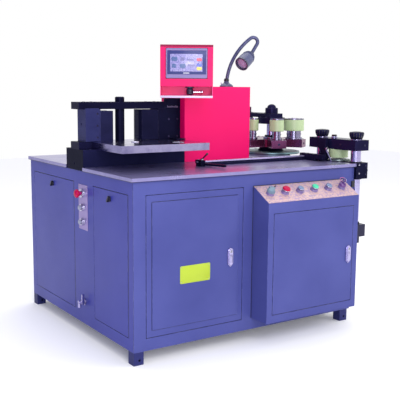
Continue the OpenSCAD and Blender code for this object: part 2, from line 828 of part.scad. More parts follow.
module small_cylinder(y) {
    z = [bolster_z[0] - small_cylinder_len, bolster_z[0]];
    difference() {
        union() {
            bar_z(press_x, y, z, small_cylinder_r);
            bar_z(press_x, y, [z[0] - 6, z[0]], small_cylinder_r - 12);
        }
        bar_z(press_x, y, [z[0] - 10, z[1] - 30], small_rod_r + run);
    }
}

module press_bolster() {
    color("midnightblue") place() bolster([front_press_y[0] - 48, front_press_y[1] + 47], front_press_y);
}

module lower_cylinders() {
    color("dimgray") place() {
        small_cylinder(front_mid);
        small_cylinder(punch_mid);
    }
}

module press_die() {
    color("darkseagreen") place() difference() {
        union() {
            bar_z(press_x, front_mid, [bolster_top, die_top - 3], die_r);
            bar_z(press_x, front_mid, [bolster_top, die_top], 44);
        }
        bar_z(press_x, front_mid, [bolster_top - cut, die_top + cut], punch_r + 0.5);
    }
}

// Knob nut on a column: a bowl with a rounded rim, wider at the top.
module knob_nut(y, z) {
    translate([press_x, y, z]) rotate_extrude($fn = 64) polygon([
        [0, 0], [knob_r - 10, 0], [knob_r - 8, 5], [knob_r - 4, 12], [knob_r - 1, 20], [knob_r, 26],
        [knob_r, knob_h - 5], [knob_r - 1.5, knob_h - 1.5], [knob_r - 5, knob_h], [0, knob_h]
    ]);
}

// Round nut with a domed cap over the column's end.
module dome_nut(y, z) {
    h = 33;
    dome_r = 27;
    translate([press_x, y, z]) rotate_extrude($fn = 64) polygon(concat(
        [[0, 0], [knob_r - 2, 0], [knob_r, 2], [knob_r, h - 3], [knob_r - 3, h]],
        [for (a = [0:15:90]) [dome_r * cos(a), h + 22 * sin(a)]]
    ));
}

// Two columns with a yoke across their feet and the rod that drives them.
module tie_frame(ys, top) {
    for (y = ys) {
        bar_z(press_x, y, [tie_bottom, top], column_r);
        bar_z(press_x, y, [tie_bottom, yoke_z[0]], column_r + 8, 6);
    }
    block([cab_w + 3, press_x + 41], [ys[0] - 47, ys[1] + 47], yoke_z);
    bar_z(press_x, (ys[0] + ys[1]) / 2, [yoke_z[1] - cut, bolster_z[0] - 60], small_rod_r);
}

module press_columns() {
    color("thistle") place() {
        tie_frame(front_press_y, press_beam_z[1] + washer_h);
        for (y = front_press_y) bar_z(press_x, y, [press_beam_z[1], press_beam_z[1] + washer_h], knob_r - 6);
    }
}

module press_beam() {
    r = column_r;
    color("midnightblue") place() {
        difference() {
            block([press_x - beam_half, press_x + beam_half], [front_press_y[0] - 42, front_press_y[1] + 48], press_beam_z);
            for (y = front_press_y) bar_z(press_x, y, [press_beam_z[0] - cut, press_beam_z[1] + cut], r);
        }
        for (y = front_press_y) knob_nut(y, press_beam_z[1] + washer_h);
        bar_z(press_x, front_mid + 35, [press_beam_z[1] - cut, press_beam_z[1] + 16], 12, 32);
        bar_z(press_x, front_mid, [die_top + 15, press_beam_z[0] + cut], punch_r);
    }
}

module press_stripper() {
    color("palegoldenrod") place() difference() {
        bar_z(press_x, front_mid, stripper_z, stripper_r);
        bar_z(press_x, front_mid, [stripper_z[0] - cut, stripper_z[1] + cut], punch_r);
    }
}

module punch_bolster() {
    color("midnightblue") place() difference() {
        union() {
            bolster([punch_y[0] - 130, punch_y[1] + 47], punch_y);
            // round base, cone and the sleeve that the turret turns on
            bar_z(press_x, punch_y[0], [table_z, table_z + 12], 172);
            translate([press_x, punch_y[0], table_z + 12]) cylinder(r1 = 78, r2 = 62, h = 27 - gap, $fn = 64);
            bar_z(press_x, punch_y[0], [table_z + 12, turret_z[1] + 20], sleeve_r);
        }
        bar_z(press_x, punch_y[0], [bolster_z[0] - cut, turret_z[1] + 20 + cut], column_r + run);
    }
}

module punch_columns() {
    color("thistle") place() tie_frame(punch_y, punch_beam_z[1]);
}

module punch_beam() {
    color("midnightblue") place() {
        difference() {
            union() {
                block([press_x - beam_half, press_x + beam_half], [punch_y[0] - 44, punch_y[1]], punch_beam_z);
                bar_z(press_x, punch_y[1], punch_beam_z, beam_half);
                // disc over the turret's middle and boss over the rear column
                bar_z(press_x, punch_y[0], [punch_beam_z[0] - 36, punch_beam_z[0]], hub_disc_r);
                bar_z(press_x, punch_y[1], [punch_beam_z[0] - 44, punch_beam_z[0]], beam_half);
            }
            for (y = punch_y) bar_z(press_x, y, [punch_beam_z[0] - 44 - cut, punch_beam_z[1] + cut], column_r);
        }
        for (y = punch_y) dome_nut(y, punch_beam_z[1]);
    }
}

// ---------------------------------------------------------------- turret

// Runs round the stations: bearing from straight ahead towards the left.
module at_station(i) {
    b = turret_rest + i * 360 / stations;
    translate([press_x, punch_y[0], 0]) rotate([0, 0, -b]) translate([0, -station_r, 0]) children();
}

module turret_plate() {
    hole = [turret_z[0] - cut, turret_z[1] + cut];
    color("maroon") place() {
        // the carrier that runs round the sleeve
        difference() {
            bar_z(press_x, punch_y[0], turret_z, seat_root, 96);
            bar_z(press_x, punch_y[0], hole, sleeve_r + run);
        }
        // the seats bolted round it
        for (i = [0:stations - 1]) difference() {
            at_station(i) block([-petal_w / 2, petal_w / 2], [station_r - petal_r, 60], turret_z);
            bar_z(press_x, punch_y[0], hole, seat_root + run, 96);
            if (len(search(i, OPEN)) > 0) at_station(i) bar_z(0, 0, hole, open_r);
        }
    }
}

module turret_tools() {
    color("gray") place() for (t = TOOLS) at_station(t[0]) {
        neck = t[1];
        cap = t[2];
        // die and guide sleeve
        bar_z(0, 0, [turret_z[1], turret_z[1] + 10], neck + 4);
        bar_z(0, 0, [turret_z[1] + 10, stripper_bottom], neck);
        // punch through the stripper, and its cap
        bar_z(0, 0, [stripper_bottom, stripper_top], neck * 0.6);
        bar_z(0, 0, [stripper_top, tool_top], cap - 1);
    }
}

module turret_strippers() {
    h = stripper_top - stripper_bottom;
    c = stripper_round;
    color("palegoldenrod") place() for (t = TOOLS) at_station(t[0]) {
        r = t[2];
        hole = t[1] * 0.6 + gap / 2;
        translate([0, 0, stripper_bottom]) rotate_extrude($fn = 64) polygon([
            [hole, 0], [r - c, 0], [r - 1.2, 1.2], [r, c], [r, h - c], [r - 1.2, h - 1.2], [r - c, h], [hole, h]
        ]);
    }
}

// ---------------------------------------------------------------- side controls and drain

// A ring on the plate's face with a barrel through the sheet, along z.
module collar(face, depth) {
    difference() {
        union() {
            translate([0, 0, face]) cylinder(r = collar_r, h = collar_h, $fn = 48);
            translate([0, 0, -depth]) cylinder(r = barrel_r, h = depth + face, $fn = 48);
        }
        translate([0, 0, -depth - cut]) cylinder(r = stem_r + run, h = depth + face + collar_h + 2 * cut, $fn = 48);
    }
}

// A cap on a stem that slides in a collar. The cap starts its travel above the collar.
module push_button(face, depth, r, h) {
    seat = face + collar_h + button_travel + 0.5;
    translate([0, 0, seat]) rotate_extrude($fn = 48) polygon([[0, 0], [r, 0], [r, h - 3], [r - 3, h], [0, h]]);
    translate([0, 0, 2 - depth]) cylinder(r = stem_r, h = seat + depth, $fn = 48);
}

// A turning knob: a disc with a raised grip.
module turn_knob(face, depth, r, grip) {
    seat = face + collar_h + gap;
    translate([0, 0, seat]) cylinder(r = r, h = 8, $fn = 48);
    translate([-4, -r, seat + 7]) cube([8, grip, 10]);
    translate([0, 0, 2 - depth]) cylinder(r = stem_r, h = seat + depth, $fn = 48);
}

module control_plates() {
    barrel = 20;
    color("rosybrown") place() {
        difference() {
            block([-plate_sheet, 0], [strip_y - strip_size[0] / 2, strip_y + strip_size[0] / 2], [strip_z, strip_z + strip_size[1]]);
            for (i = [0:2]) bar_x([-plate_sheet - cut, cut], strip_y, estop_z - i * side_pitch, barrel_r);
        }
        for (i = [0:2]) out_of_left_wall(strip_y, estop_z - i * side_pitch) collar(plate_sheet, barrel);
        difference() {
            on_slope((ebox_x[0] + ebox_x[1]) / 2) translate([0, 0, plate_sheet / 2])
                cube([ebox_w - 4, slope_len - 6, plate_sheet], center = true);
            for (i = [0:5]) on_slope(control_x0 + i * control_pitch) translate([0, 0, -cut])
                cylinder(r = barrel_r, h = plate_sheet + 2 * cut, $fn = 48);
        }
        for (i = [0:5]) on_slope(control_x0 + i * control_pitch) collar(plate_sheet, barrel);
    }
}

module side_estop() {
    color("red") place() out_of_left_wall(strip_y, estop_z) {
        translate([0, 0, 20]) rotate_extrude($fn = 64) polygon([
            [0, 0], [12, 0], [14, 6], [20, 10], [20, 17], [17, 22], [11, 25], [0, estop_reach - 20]
        ]);
        translate([0, 0, -18]) cylinder(r = stem_r, h = 40, $fn = 48);
    }
}
module side_button_upper() {
    color("silver") place() out_of_left_wall(strip_y, estop_z - side_pitch) push_button(plate_sheet, 20, 12, 6);
}
module side_button_lower() {
    color("silver") place() out_of_left_wall(strip_y, estop_z - 2 * side_pitch) push_button(plate_sheet, 20, 12, 6);
}

module panel_control(i) {
    place() on_slope(control_x0 + i * control_pitch) children();
}
module mode_switch() {
    color("cadetblue") panel_control(0) {
        turn_knob(plate_sheet, 20, 20, 40);
        translate([0, 0, plate_sheet + collar_h + 10]) rotate([0, 0, 32]) translate([0, -3, 0]) cube([47, 6, 4]);
    }
}
module stop_button() {
    color("red") panel_control(1) push_button(plate_sheet, 20, 19, 12);
}
module jog_button() {
    color("slategray") panel_control(2) push_button(plate_sheet, 20, 15, 8);
}
module start_button() {
    color("mediumseagreen") panel_control(3) push_button(plate_sheet, 20, 16, 11);
}
module reset_button() {
    color("steelblue") panel_control(4) push_button(plate_sheet, 20, 15, 8);
}
module key_switch() {
    color("mediumvioletred") panel_control(5) turn_knob(plate_sheet, 20, 18, 36);
}

module drain_valve() {
    color("silver") place() translate([0, strip_y, drain_z]) {
        bar_x([-4, 0], 0, 0, 18);
        bar_x([-34, 12], 0, 0, 9);
        // spout turned down
        translate([-28, 0, 0]) rotate([0, 180, 0]) cylinder(r = 8, h = 26, $fn = 32);
        // neck that carries the handle
        difference() {
            bar_y(-20, [-18, 0], 0, 9, 32);
            bar_y(-20, [-19, -9], 0, 4 + run, 32);
        }
    }
}
module drain_handle() {
    color("silver") place() translate([0, strip_y, drain_z]) {
        bar_y(-20, [-26, -9 - gap], 0, 4, 32);
        block([-26, -14], [-26, -18 - gap], [-7, 44]);
    }
}

// ---------------------------------------------------------------- electrical box

module ebox_profile(inset) {
    drop = inset / cos(slope);
    rise = inset * tan(slope);
    polygon([
        [-inset, sill_z + inset], [-ebox_d + inset, sill_z + inset],
        [-ebox_d + inset, ebox_lip + rise - drop], [-inset, ebox_top - rise - drop]
    ]);
}

module ebox_shell() {
    t = ebox_sheet;
    color("slateblue") place() difference() {
        union() {
            difference() {
                profile_x(ebox_x) ebox_profile(0);
                profile_x([ebox_x[0] + t, ebox_x[1] - t]) ebox_profile(t);
            }
            translate([0, -ebox_d, 0]) jamb(ebox_door_x, ebox_door_z, [0, ebox_fold], t);
        }
        block(ebox_door_x, [-ebox_d - cut, -ebox_d + ebox_fold + cut], ebox_door_z);
        bar_z(ebox_door_x[0] + door_gap + hinge_in, hinge_deep - ebox_d,
              [ebox_door_z[0] - t - cut, ebox_door_z[1] + t + cut], pin_r + run);
        bar_y(ebox_x[0] + 60, [-t - cut, cut], ebox_lip - 60, 30);
        for (i = [0:5]) on_slope(control_x0 + i * control_pitch) translate([0, 0, -10])
            cylinder(r = barrel_r, h = 20, $fn = 48);
    }
}

module switchgear() {
    back = -ebox_sheet;
    mount_x = [ebox_x[0] + 40, ebox_x[1] - 40];
    mount_z = [sill_z + 40, ebox_lip - 95];
    face = back - 14;
    row = [mount_z[1] - 60, (mount_z[0] + mount_z[1]) / 2 + 20, mount_z[0] + 60];
    color("lightgray") place() {
        block(mount_x, [face, face + 2], mount_z);
        for (x = mount_x, z = mount_z) {
            bar_y(x + (x == mount_x[0] ? 15 : -15), [face, back], z + (z == mount_z[0] ? 15 : -15), 6, 24);
        }
        for (z = row) block([mount_x[0] + 20, mount_x[1] - 20], [face - 7, face], [z - 17, z + 17]);
        // controller and power supply
        block([mount_x[0] + 40, mount_x[0] + 220], [face - 67, face - 7], [row[0] - 45, row[0] + 45]);
        block([mount_x[0] + 260, mount_x[0] + 340], [face - 67, face - 7], [row[0] - 50, row[0] + 50]);
        // breakers, contactors and terminals
        for (i = [0:3]) block([mount_x[0] + 40 + 56 * i, mount_x[0] + 90 + 56 * i], [face - 60, face - 7], [row[1] - 40, row[1] + 40]);
        for (i = [0:11]) block([mount_x[0] + 60 + 26 * i, mount_x[0] + 82 + 26 * i], [face - 45, face - 7], [row[2] - 26, row[2] + 26]);
    }
}

// A front door moved to the electrical box's face.
module on_ebox() {
    translate([0, -ebox_d, 0]) children();
}

// ---------------------------------------------------------------- doors

module tool_door() {
    color("slateblue") place() {
        difference() {
            door_leaf(tool_x, [sill_z, head_z], fold, true);
            bar_y(tool_lock[0], [-field_out - cut, fold], tool_lock[1], stem_r + run);
        }
        upright_pins(tool_x[0] + door_gap + hinge_in, [sill_z, head_z], sheet);
    }
}
module tool_handle() {
    color("silver") place() translate([tool_lock[0], 0, tool_lock[1]])
        lock_handle(field_out, fold, tool_x[1] - tool_lock[0] + 12);
}

module ebox_door() {
    color("slateblue") place() on_ebox() {
        difference() {
            door_leaf(ebox_door_x, ebox_door_z, ebox_fold, false);
            bar_y(ebox_lock[0], [-cut, ebox_fold], ebox_lock[1], stem_r + run);
        }
        upright_pins(ebox_door_x[0] + door_gap + hinge_in, ebox_door_z, ebox_sheet);
    }
}
module ebox_handle() {
    color("silver") place() on_ebox() translate([ebox_lock[0], 0, ebox_lock[1]])
        lock_handle(0, ebox_fold, ebox_door_x[1] - ebox_lock[0] + 8);
}

module service_door(y) {
    w = y[1] - y[0];
    place() on_left_wall(y[1]) {
        difference() {
            door_leaf([0, w], [sill_z, head_z], fold, false);
            bar_y(w / 2, [-cut, fold], head_z - 40, stem_r + run);
        }
        for (span = [[-sheet, door_gap], [w - door_gap, w + sheet]]) {
            bar_x(span, hinge_flap, sill_z + door_gap + 8, pin_r);
        }
    }
}
module service_latch(y) {
    place() on_left_wall(y[1]) translate([(y[1] - y[0]) / 2, 0, head_z - 40]) cam_latch(fold, 52);
}
module rear_door() { color("slateblue") service_door(rear_y); }
module rear_latch() { color("black") service_latch(rear_y); }
module front_door() { color("slateblue") service_door(front_y); }
module front_latch() { color("black") service_latch(front_y); }

// ---------------------------------------------------------------- hydraulics

module power_unit() {
    t = 5;
    mid = [(tank_x[0] + tank_x[1]) / 2, (tank_y[0] + tank_y[1]) / 2];
    color("steelblue") place() {
        difference() {
            union() {
                block(tank_x, tank_y, tank_z);
                for (y = [tank_y[0] + 40, tank_y[1] - 90]) block([tank_x[0] + 20, tank_x[1] - 20], [y, y + 50], [pan_top, tank_z[0]]);
            }
            block([tank_x[0] + t, tank_x[1] - t], [tank_y[0] + t, tank_y[1] - t], [tank_z[0] + t, tank_z[1] - t]);
            bar_z(mid[0] - 90, mid[1], [tank_z[1] - t - cut, tank_z[1] + cut], 70);
        }
        // filler and breather
        bar_z(tank_x[1] - 60, tank_y[0] + 60, [tank_z[1], tank_z[1] + 45], 30);
        // manifold with one valve for each press
        block([mid[0] + 60, mid[0] + 160], [mid[1] - 120, mid[1] + 120], [tank_z[1], tank_z[1] + 80]);
        for (i = [-1:1]) {
            block([mid[0] + 75, mid[0] + 145], [mid[1] + 75 * i - 24, mid[1] + 75 * i + 24], [tank_z[1] + 80, tank_z[1] + 130]);
            bar_x([mid[0] + 20, mid[0] + 200], mid[1] + 75 * i, tank_z[1] + 106, 22, 32);
        }
    }
}

module pump_motor() {
    x = (tank_x[0] + tank_x[1]) / 2 - 90;
    y = (tank_y[0] + tank_y[1]) / 2;
    z = tank_z[1];
    body = 88;
    color("gray") place() translate([x, y, 0]) {
        // flange, finned body and fan cowl
        bar_z(0, 0, [z, z + 14], 100);
        bar_z(0, 0, [z + 14, z + 230], body);
        for (i = [0:23]) rotate([0, 0, 15 * i]) block([body - 3, body + 10], [-2, 2], [z + 30, z + 185]);
        bar_z(0, 0, [z + motor_len - 70, z + motor_len], body + 10);
        // pump and suction tube in the tank
        bar_z(0, 0, [z - 130, z], 55);
        bar_z(30, 0, [tank_z[0] + 25, z - 130], 14, 32);
        // terminal box
        block([-body - 50, 8 - body], [-45, 45], [z + 60, z + 150]);
    }
}

base_frame();
front_panel();
left_panel();
rear_walls();
tool_bin();
table_top();
bender_bed();
die_column();
v_die();
top_beam();
end_housing();
bender_cylinder();
work_plate();
tower_cover();
console_bracket();
fence_bar();
press_bolster();
lower_cylinders();
press_die();
punch_bolster();
lamp_stand();
lamp_head();
drain_valve();
control_plates();
ebox_shell();
switchgear();
power_unit();
pump_motor();
tool_door();
tool_handle();
ebox_door();
ebox_handle();
rear_door();
rear_latch();
front_door();
front_latch();
side_estop();
side_button_upper();
side_button_lower();
mode_switch();
stop_button();
jog_button();
start_button();
reset_button();
key_switch();
bender_ram();
mandrel_pin();
press_beam();
press_columns();
press_stripper();
punch_beam();
punch_columns();
turret_plate();
turret_tools();
turret_strippers();
console_housing();
hmi_panel();
swivel_lock();
fence_stop();
drain_handle();
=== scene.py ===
import math
from itertools import product

import bmesh
import bpy
from mathutils import Matrix, Vector


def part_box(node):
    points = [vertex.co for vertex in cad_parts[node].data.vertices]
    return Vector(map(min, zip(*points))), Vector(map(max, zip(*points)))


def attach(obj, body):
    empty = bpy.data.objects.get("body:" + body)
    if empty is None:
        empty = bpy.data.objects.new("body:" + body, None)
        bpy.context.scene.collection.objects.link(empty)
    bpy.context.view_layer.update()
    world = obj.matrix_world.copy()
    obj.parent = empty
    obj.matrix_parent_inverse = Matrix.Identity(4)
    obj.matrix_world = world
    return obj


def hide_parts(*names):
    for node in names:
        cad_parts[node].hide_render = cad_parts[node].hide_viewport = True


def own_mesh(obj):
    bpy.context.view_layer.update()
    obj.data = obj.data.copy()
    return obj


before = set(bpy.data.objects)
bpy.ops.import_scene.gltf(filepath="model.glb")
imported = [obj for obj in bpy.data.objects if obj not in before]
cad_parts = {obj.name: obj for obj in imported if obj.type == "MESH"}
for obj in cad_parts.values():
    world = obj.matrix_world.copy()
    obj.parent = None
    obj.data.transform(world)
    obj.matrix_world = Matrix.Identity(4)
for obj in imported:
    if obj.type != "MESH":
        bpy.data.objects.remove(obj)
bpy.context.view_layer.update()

# Looks of the busbar machine. Lengths are given in millimetres from the cabinet's
# front left corner on the floor, and at() turns them into the shared frame in metres.
MIDDLE = (750.5, 531.85)
UP, DOWN, FRONT, BACK, LEFT, RIGHT = (0, 0, 1), (0, 0, -1), (0, -1, 0), (0, 1, 0), (-1, 0, 0), (1, 0, 0)


def at(x, y, z):
    return Vector(((x - MIDDLE[0]) / 1000, (y - MIDDLE[1]) / 1000, z / 1000))


def shown(name, data):
    """A new object in the scene."""
    obj = bpy.data.objects.new(name, data)
    bpy.context.scene.collection.objects.link(obj)
    return obj


def hue(red, green, blue):
    """A colour from its 0 to 255 screen values."""
    out = []
    for c in (red, green, blue):
        c /= 255
        out.append(c / 12.92 if c <= 0.04045 else ((c + 0.055) / 1.055) ** 2.4)
    return (*out, 1.0)


# ---------------------------------------------------------------- finishes

class Tree:
    """Short ways to add nodes to a material or a group."""

    def __init__(self, tree):
        self.tree = tree

    def join(self, source, target):
        """Gives an input socket its value, or links it to another node's output."""
        if isinstance(source, bpy.types.NodeSocket):
            self.tree.links.new(source, target)
        else:
            target.default_value = source

    def add(self, kind, *values, operation=None, **named):
        """A new node, with its inputs filled in by place or by name."""
        node = self.tree.nodes.new("ShaderNode" + kind)
        if operation:
            node.operation = operation
        for socket, value in zip(node.inputs, values):
            self.join(value, socket)
        for key, value in named.items():
            self.join(value, node.inputs[key.replace("_", " ")])
        return node

    def noise(self, coords, scale, detail=3.0, roughness=0.5):
        node = self.add("TexNoise", Vector=coords, Scale=scale, Detail=detail, Roughness=roughness)
        return node.outputs["Fac"]

    def ramp(self, value, low, high, out_low=0.0, out_high=1.0):
        node = self.add("MapRange", Value=value, From_Min=low, From_Max=high, To_Min=out_low, To_Max=out_high)
        return node.outputs["Result"]

    def sums(self, operation, a, b):
        return self.add("Math", a, b, operation=operation).outputs["Value"]

    def blend(self, amount, a, b):
        node = self.add("Mix")
        node.data_type = "RGBA"
        for i, value in ((0, amount), (6, a), (7, b)):
            self.join(value, node.inputs[i])
        return node.outputs[2]

    def place(self):
        """Where a point is, in the shared frame."""
        return self.add("TexCoord").outputs["Object"]


def surface(mat):
    """A material's node tree, and the inputs of its shader."""
    mat.use_nodes = True
    return Tree(mat.node_tree), mat.node_tree.nodes["Principled BSDF"].inputs


def group(name, takes, gives):
    """A shader node group with named sockets, its inputs by name, and its output node."""
    tree = bpy.data.node_groups.new(name, "ShaderNodeTree")
    for socket, kind, value in takes:
        made = tree.interface.new_socket(name=socket, in_out="INPUT", socket_type="NodeSocket" + kind)
        made.default_value = value
    for socket, kind in gives:
        tree.interface.new_socket(name=socket, in_out="OUTPUT", socket_type="NodeSocket" + kind)
    return Tree(tree), tree.nodes.new("NodeGroupInput").outputs, tree.nodes.new("NodeGroupOutput").inputs


def edge_wear_group():
    """Where a solid's edges are rubbed bare, and on powder coat where its edges get a painted highlight: a
    mask and a softened normal.
    """
    t, takes, gives = group("edge_wear", [("Radius", "Float", 0.002), ("Breakup", "Float", 60.0),
                                          ("Wear", "Float", 0.5)], [("Mask", "Float"), ("Normal", "Vector")])
    rounded_off = t.add("Bevel", Radius=takes["Radius"])
    rounded_off.samples = 4
    normal = rounded_off.outputs["Normal"]
    dot = t.add("VectorMath", normal, t.add("NewGeometry").outputs["Normal"], operation="DOT_PRODUCT")
    edge = t.ramp(dot.outputs["Value"], 0.99, 0.8)
    broken = t.ramp(t.noise(t.place(), takes["Breakup"], 5.0), 0.42, 0.62)
    t.join(t.sums("MULTIPLY", t.sums("MULTIPLY", edge, broken), takes["Wear"]), gives["Mask"])
    t.join(normal, gives["Normal"])
    return t.tree


LOOK = [("Color", "Color"), ("Roughness", "Float"), ("Height", "Float")]


def coat_group():
    """Sprayed paint: a slightly uneven colour, orange peel and faint smears."""
    t, takes, gives = group("sprayed_paint", [
        ("Paint", "Color", (0.1, 0.1, 0.4, 1)), ("Shade", "Color", (0.08, 0.08, 0.3, 1)),
        ("Roughness", "Float", 0.3), ("Peel", "Float", 420.0)], LOOK)
    coords = t.place()
    broad = t.ramp(t.noise(coords, 3.2, 4.0), 0.3, 0.75)
    t.join(t.blend(broad, takes["Paint"], takes["Shade"]), gives["Color"])
    drawn_out = t.add("Mapping", Vector=coords, Scale=(1.0, 1.0, 3.5)).outputs["Vector"]
    smear = t.ramp(t.noise(drawn_out, 9.0, 6.0, 0.6), 0.35, 0.75, -0.015, 0.03)
    t.join(t.sums("ADD", takes["Roughness"], smear), gives["Roughness"])
    t.join(t.noise(coords, takes["Peel"], 1.5), gives["Height"])
    return t.tree


def grain_group():
    """Ground or brushed metal: fine lines along one way, with cloudy handling marks."""
    t, takes, gives = group("metal_grain", [
        ("Metal", "Color", (0.5, 0.5, 0.5, 1)), ("Shade", "Color", (0.3, 0.3, 0.3, 1)),
        ("Roughness", "Float", 0.3), ("Stretch", "Vector", (1.0, 40.0, 1.0)), ("Lines", "Float", 30.0)], LOOK)
    coords = t.place()
    drawn = t.add("VectorMath", coords, takes["Stretch"], operation="MULTIPLY").outputs["Vector"]
    lines = t.noise(drawn, takes["Lines"], 5.0, 0.65)
    cloud = t.noise(coords, 7.0, 6.0, 0.62)
    mixed = t.sums("ADD", t.sums("MULTIPLY", lines, 0.45), t.sums("MULTIPLY", cloud, 0.55))
    t.join(t.blend(t.ramp(mixed, 0.36, 0.66), takes["Metal"], takes["Shade"]), gives["Color"])
    t.join(t.sums("ADD", takes["Roughness"], t.ramp(mixed, 0.35, 0.7, -0.06, 0.12)), gives["Roughness"])
    t.join(lines, gives["Height"])
    return t.tree


EDGE_WEAR_AND_HIGHLIGHT = edge_wear_group()
COAT = coat_group()
GRAIN = grain_group()


def grouped(t, tree, **values):
    """A node that holds a group, with the group's inputs set."""
    node = t.tree.nodes.new("ShaderNodeGroup")
    node.node_tree = tree
    for key, value in values.items():
        node.inputs[key.capitalize()].default_value = value
    return node


def finish(name, body, bare=None, radius=0.002, wear=0.0, breakup=60.0, height=0.02, distance=0.001,
           metallic=0.0, bare_metallic=None, coat=0.0, ior=1.5, **settings):
    """A material from a body group, with edges in another colour: the bare stuff underneath where steel is
    rubbed, a painted highlight on powder coat.
    """
    mat = bpy.data.materials.new(name)
    t, shader = surface(mat)
    base = grouped(t, body, **settings).outputs
    edge = grouped(t, EDGE_WEAR_AND_HIGHLIGHT, radius=radius, wear=wear, breakup=breakup).outputs
    colour = base["Color"]
    if bare:
        colour = t.blend(edge["Mask"], colour, hue(*bare))
    if bare_metallic is not None:
        metallic = t.ramp(edge["Mask"], 0.0, 1.0, metallic, bare_metallic)
    bump = t.add("Bump", Strength=height, Distance=distance, Height=base["Height"], Normal=edge["Normal"])
    for socket, value in (("Base Color", colour), ("Roughness", base["Roughness"]), ("Metallic", metallic),
                          ("Normal", bump.outputs["Normal"]), ("Coat Weight", coat), ("Coat Roughness", 0.1),
                          ("IOR", ior)):
        t.join(value, shader[socket])
    return mat


def paint(name, colour, shade, roughness=0.32, **rest):
    rest.setdefault("coat", 0.25)
    return finish(name, COAT, paint=hue(*colour), shade=hue(*shade), roughness=roughness, **rest)


def plastic(name, colour, shade, roughness=0.28, **rest):
    return paint(name, colour, shade, roughness, peel=900.0, **rest)


def metal(name, colour, shade, roughness=0.3, stretch=(1.0, 40.0, 1.0), lines=30.0, **rest):
    for key, value in (("metallic", 1.0), ("height", 0.12), ("distance", 0.0004)):
        rest.setdefault(key, value)
    return finish(name, GRAIN, metal=hue(*colour), shade=hue(*shade), roughness=roughness, stretch=stretch,
                  lines=lines, **rest)


def small_metal(name, colour, shade, roughness=0.26, **rest):
    """Metal of small turned things, with an even grain."""
    return metal(name, colour, shade, roughness, (1.0, 1.0, 1.0), 60.0, **rest)


UPRIGHT, LENGTHWISE = (1.0, 1.0, 24.0), (24.0, 1.0, 24.0)
BLACK = ((22, 22, 50), (12, 12, 32))


def oiled(name, colour, shade, roughness=0.34, stretch=UPRIGHT, lines=20.0):
    """Blued and oiled steel, with its edges rubbed bright."""
    return metal(name, colour, shade, roughness, stretch, lines, metallic=0.3, bare=(120, 118, 150),
                 bare_metallic=0.9, wear=0.4, ior=1.1)


def zone(mat, x=None, y=None, z=None, outside=None, colour=None, metallic=None, roughness=None):
    """Gives part of a solid another look.

    The part is within limits in millimetres, or outside a radius of an upright axis.
    """
    t, shader = surface(mat)
    where = t.place()
    split = t.add("SeparateXYZ", where).outputs
    tests = []
    for axis, limits, shift in (("X", x, MIDDLE[0]), ("Y", y, MIDDLE[1]), ("Z", z, 0)):
        for side, limit in zip(("GREATER_THAN", "LESS_THAN"), limits or ()):
            if limit is not None:
                tests.append(t.sums(side, split[axis], (limit - shift) / 1000))
    if outside:
        level = t.add("VectorMath", where, (1, 1, 0), operation="MULTIPLY").outputs["Vector"]
        centre = at(outside[0], outside[1], 0)
        away = t.add("VectorMath", level, centre, operation="DISTANCE").outputs["Value"]
        tests.append(t.sums("GREATER_THAN", away, outside[2] / 1000))
    mask = tests[0]
    for test in tests[1:]:
        mask = t.sums("MULTIPLY", mask, test)
    if colour:
        base = shader["Base Color"]
        t.join(t.blend(mask, base.links[0].from_socket, hue(*colour)), base)
    for socket, value in ((shader["Metallic"], metallic), (shader["Roughness"], roughness)):
        if value is not None:
            before = socket.links[0].from_socket if socket.links else socket.default_value
            t.join(t.ramp(mask, 0.0, 1.0, before, value), socket)
    return mat


def mottle(mat, scale, colour):
    """Breaks a finish up with small specks of another colour."""
    t, shader = surface(mat)
    base = shader["Base Color"]
    specks = t.ramp(t.noise(t.place(), scale, 4.0, 0.6), 0.46, 0.6)
    t.join(t.blend(specks, base.links[0].from_socket, hue(*colour)), base)


# sheet metal. The jambs and folded edges round the doors are painted dark as shade in the gaps, and a leaf's
# inner face is lighter again
GAP_SHADE, INNER = (22, 22, 60), (70, 75, 140)
SIDE = ((66, 70, 154), (54, 58, 142))
FOLD = (0.8, 24)
BOX_FOLD = (-119.2, -100)
LEAF_Z = (121, 756)


# On powder coat the light lilac edge colour is a painted highlight along the edges.
def powder_coat(name, colour=(76, 81, 146), shade=(64, 69, 132)):
    return paint(name, colour, shade, 0.3, bare=(150, 154, 214), wear=0.6, radius=0.0025,
                 breakup=30.0, coat=0.0, ior=1.25)


def gloss_red(name):
    return paint(name, (240, 0, 104), (232, 0, 98), 0.4, bare=(255, 80, 150), wear=0.2, coat=0.0, ior=1.3)


blue_sheet = powder_coat("blue_powder_coat")
front_sheet = zone(powder_coat("blue_front_panel"), y=FOLD, colour=GAP_SHADE)
side_sheet = zone(powder_coat("blue_side_panel", *SIDE), x=FOLD, y=(4, 1100), colour=GAP_SHADE)
box_sheet = zone(powder_coat("blue_electrical_box"), x=(650, 1222), y=BOX_FOLD, z=(130, 690), colour=GAP_SHADE)
tool_leaf = zone(powder_coat("blue_tool_door"), y=FOLD, colour=GAP_SHADE)
box_leaf = zone(powder_coat("blue_box_door"), y=BOX_FOLD, colour=GAP_SHADE)
side_leaf = zone(powder_coat("blue_side_door", *SIDE), x=FOLD, colour=GAP_SHADE)
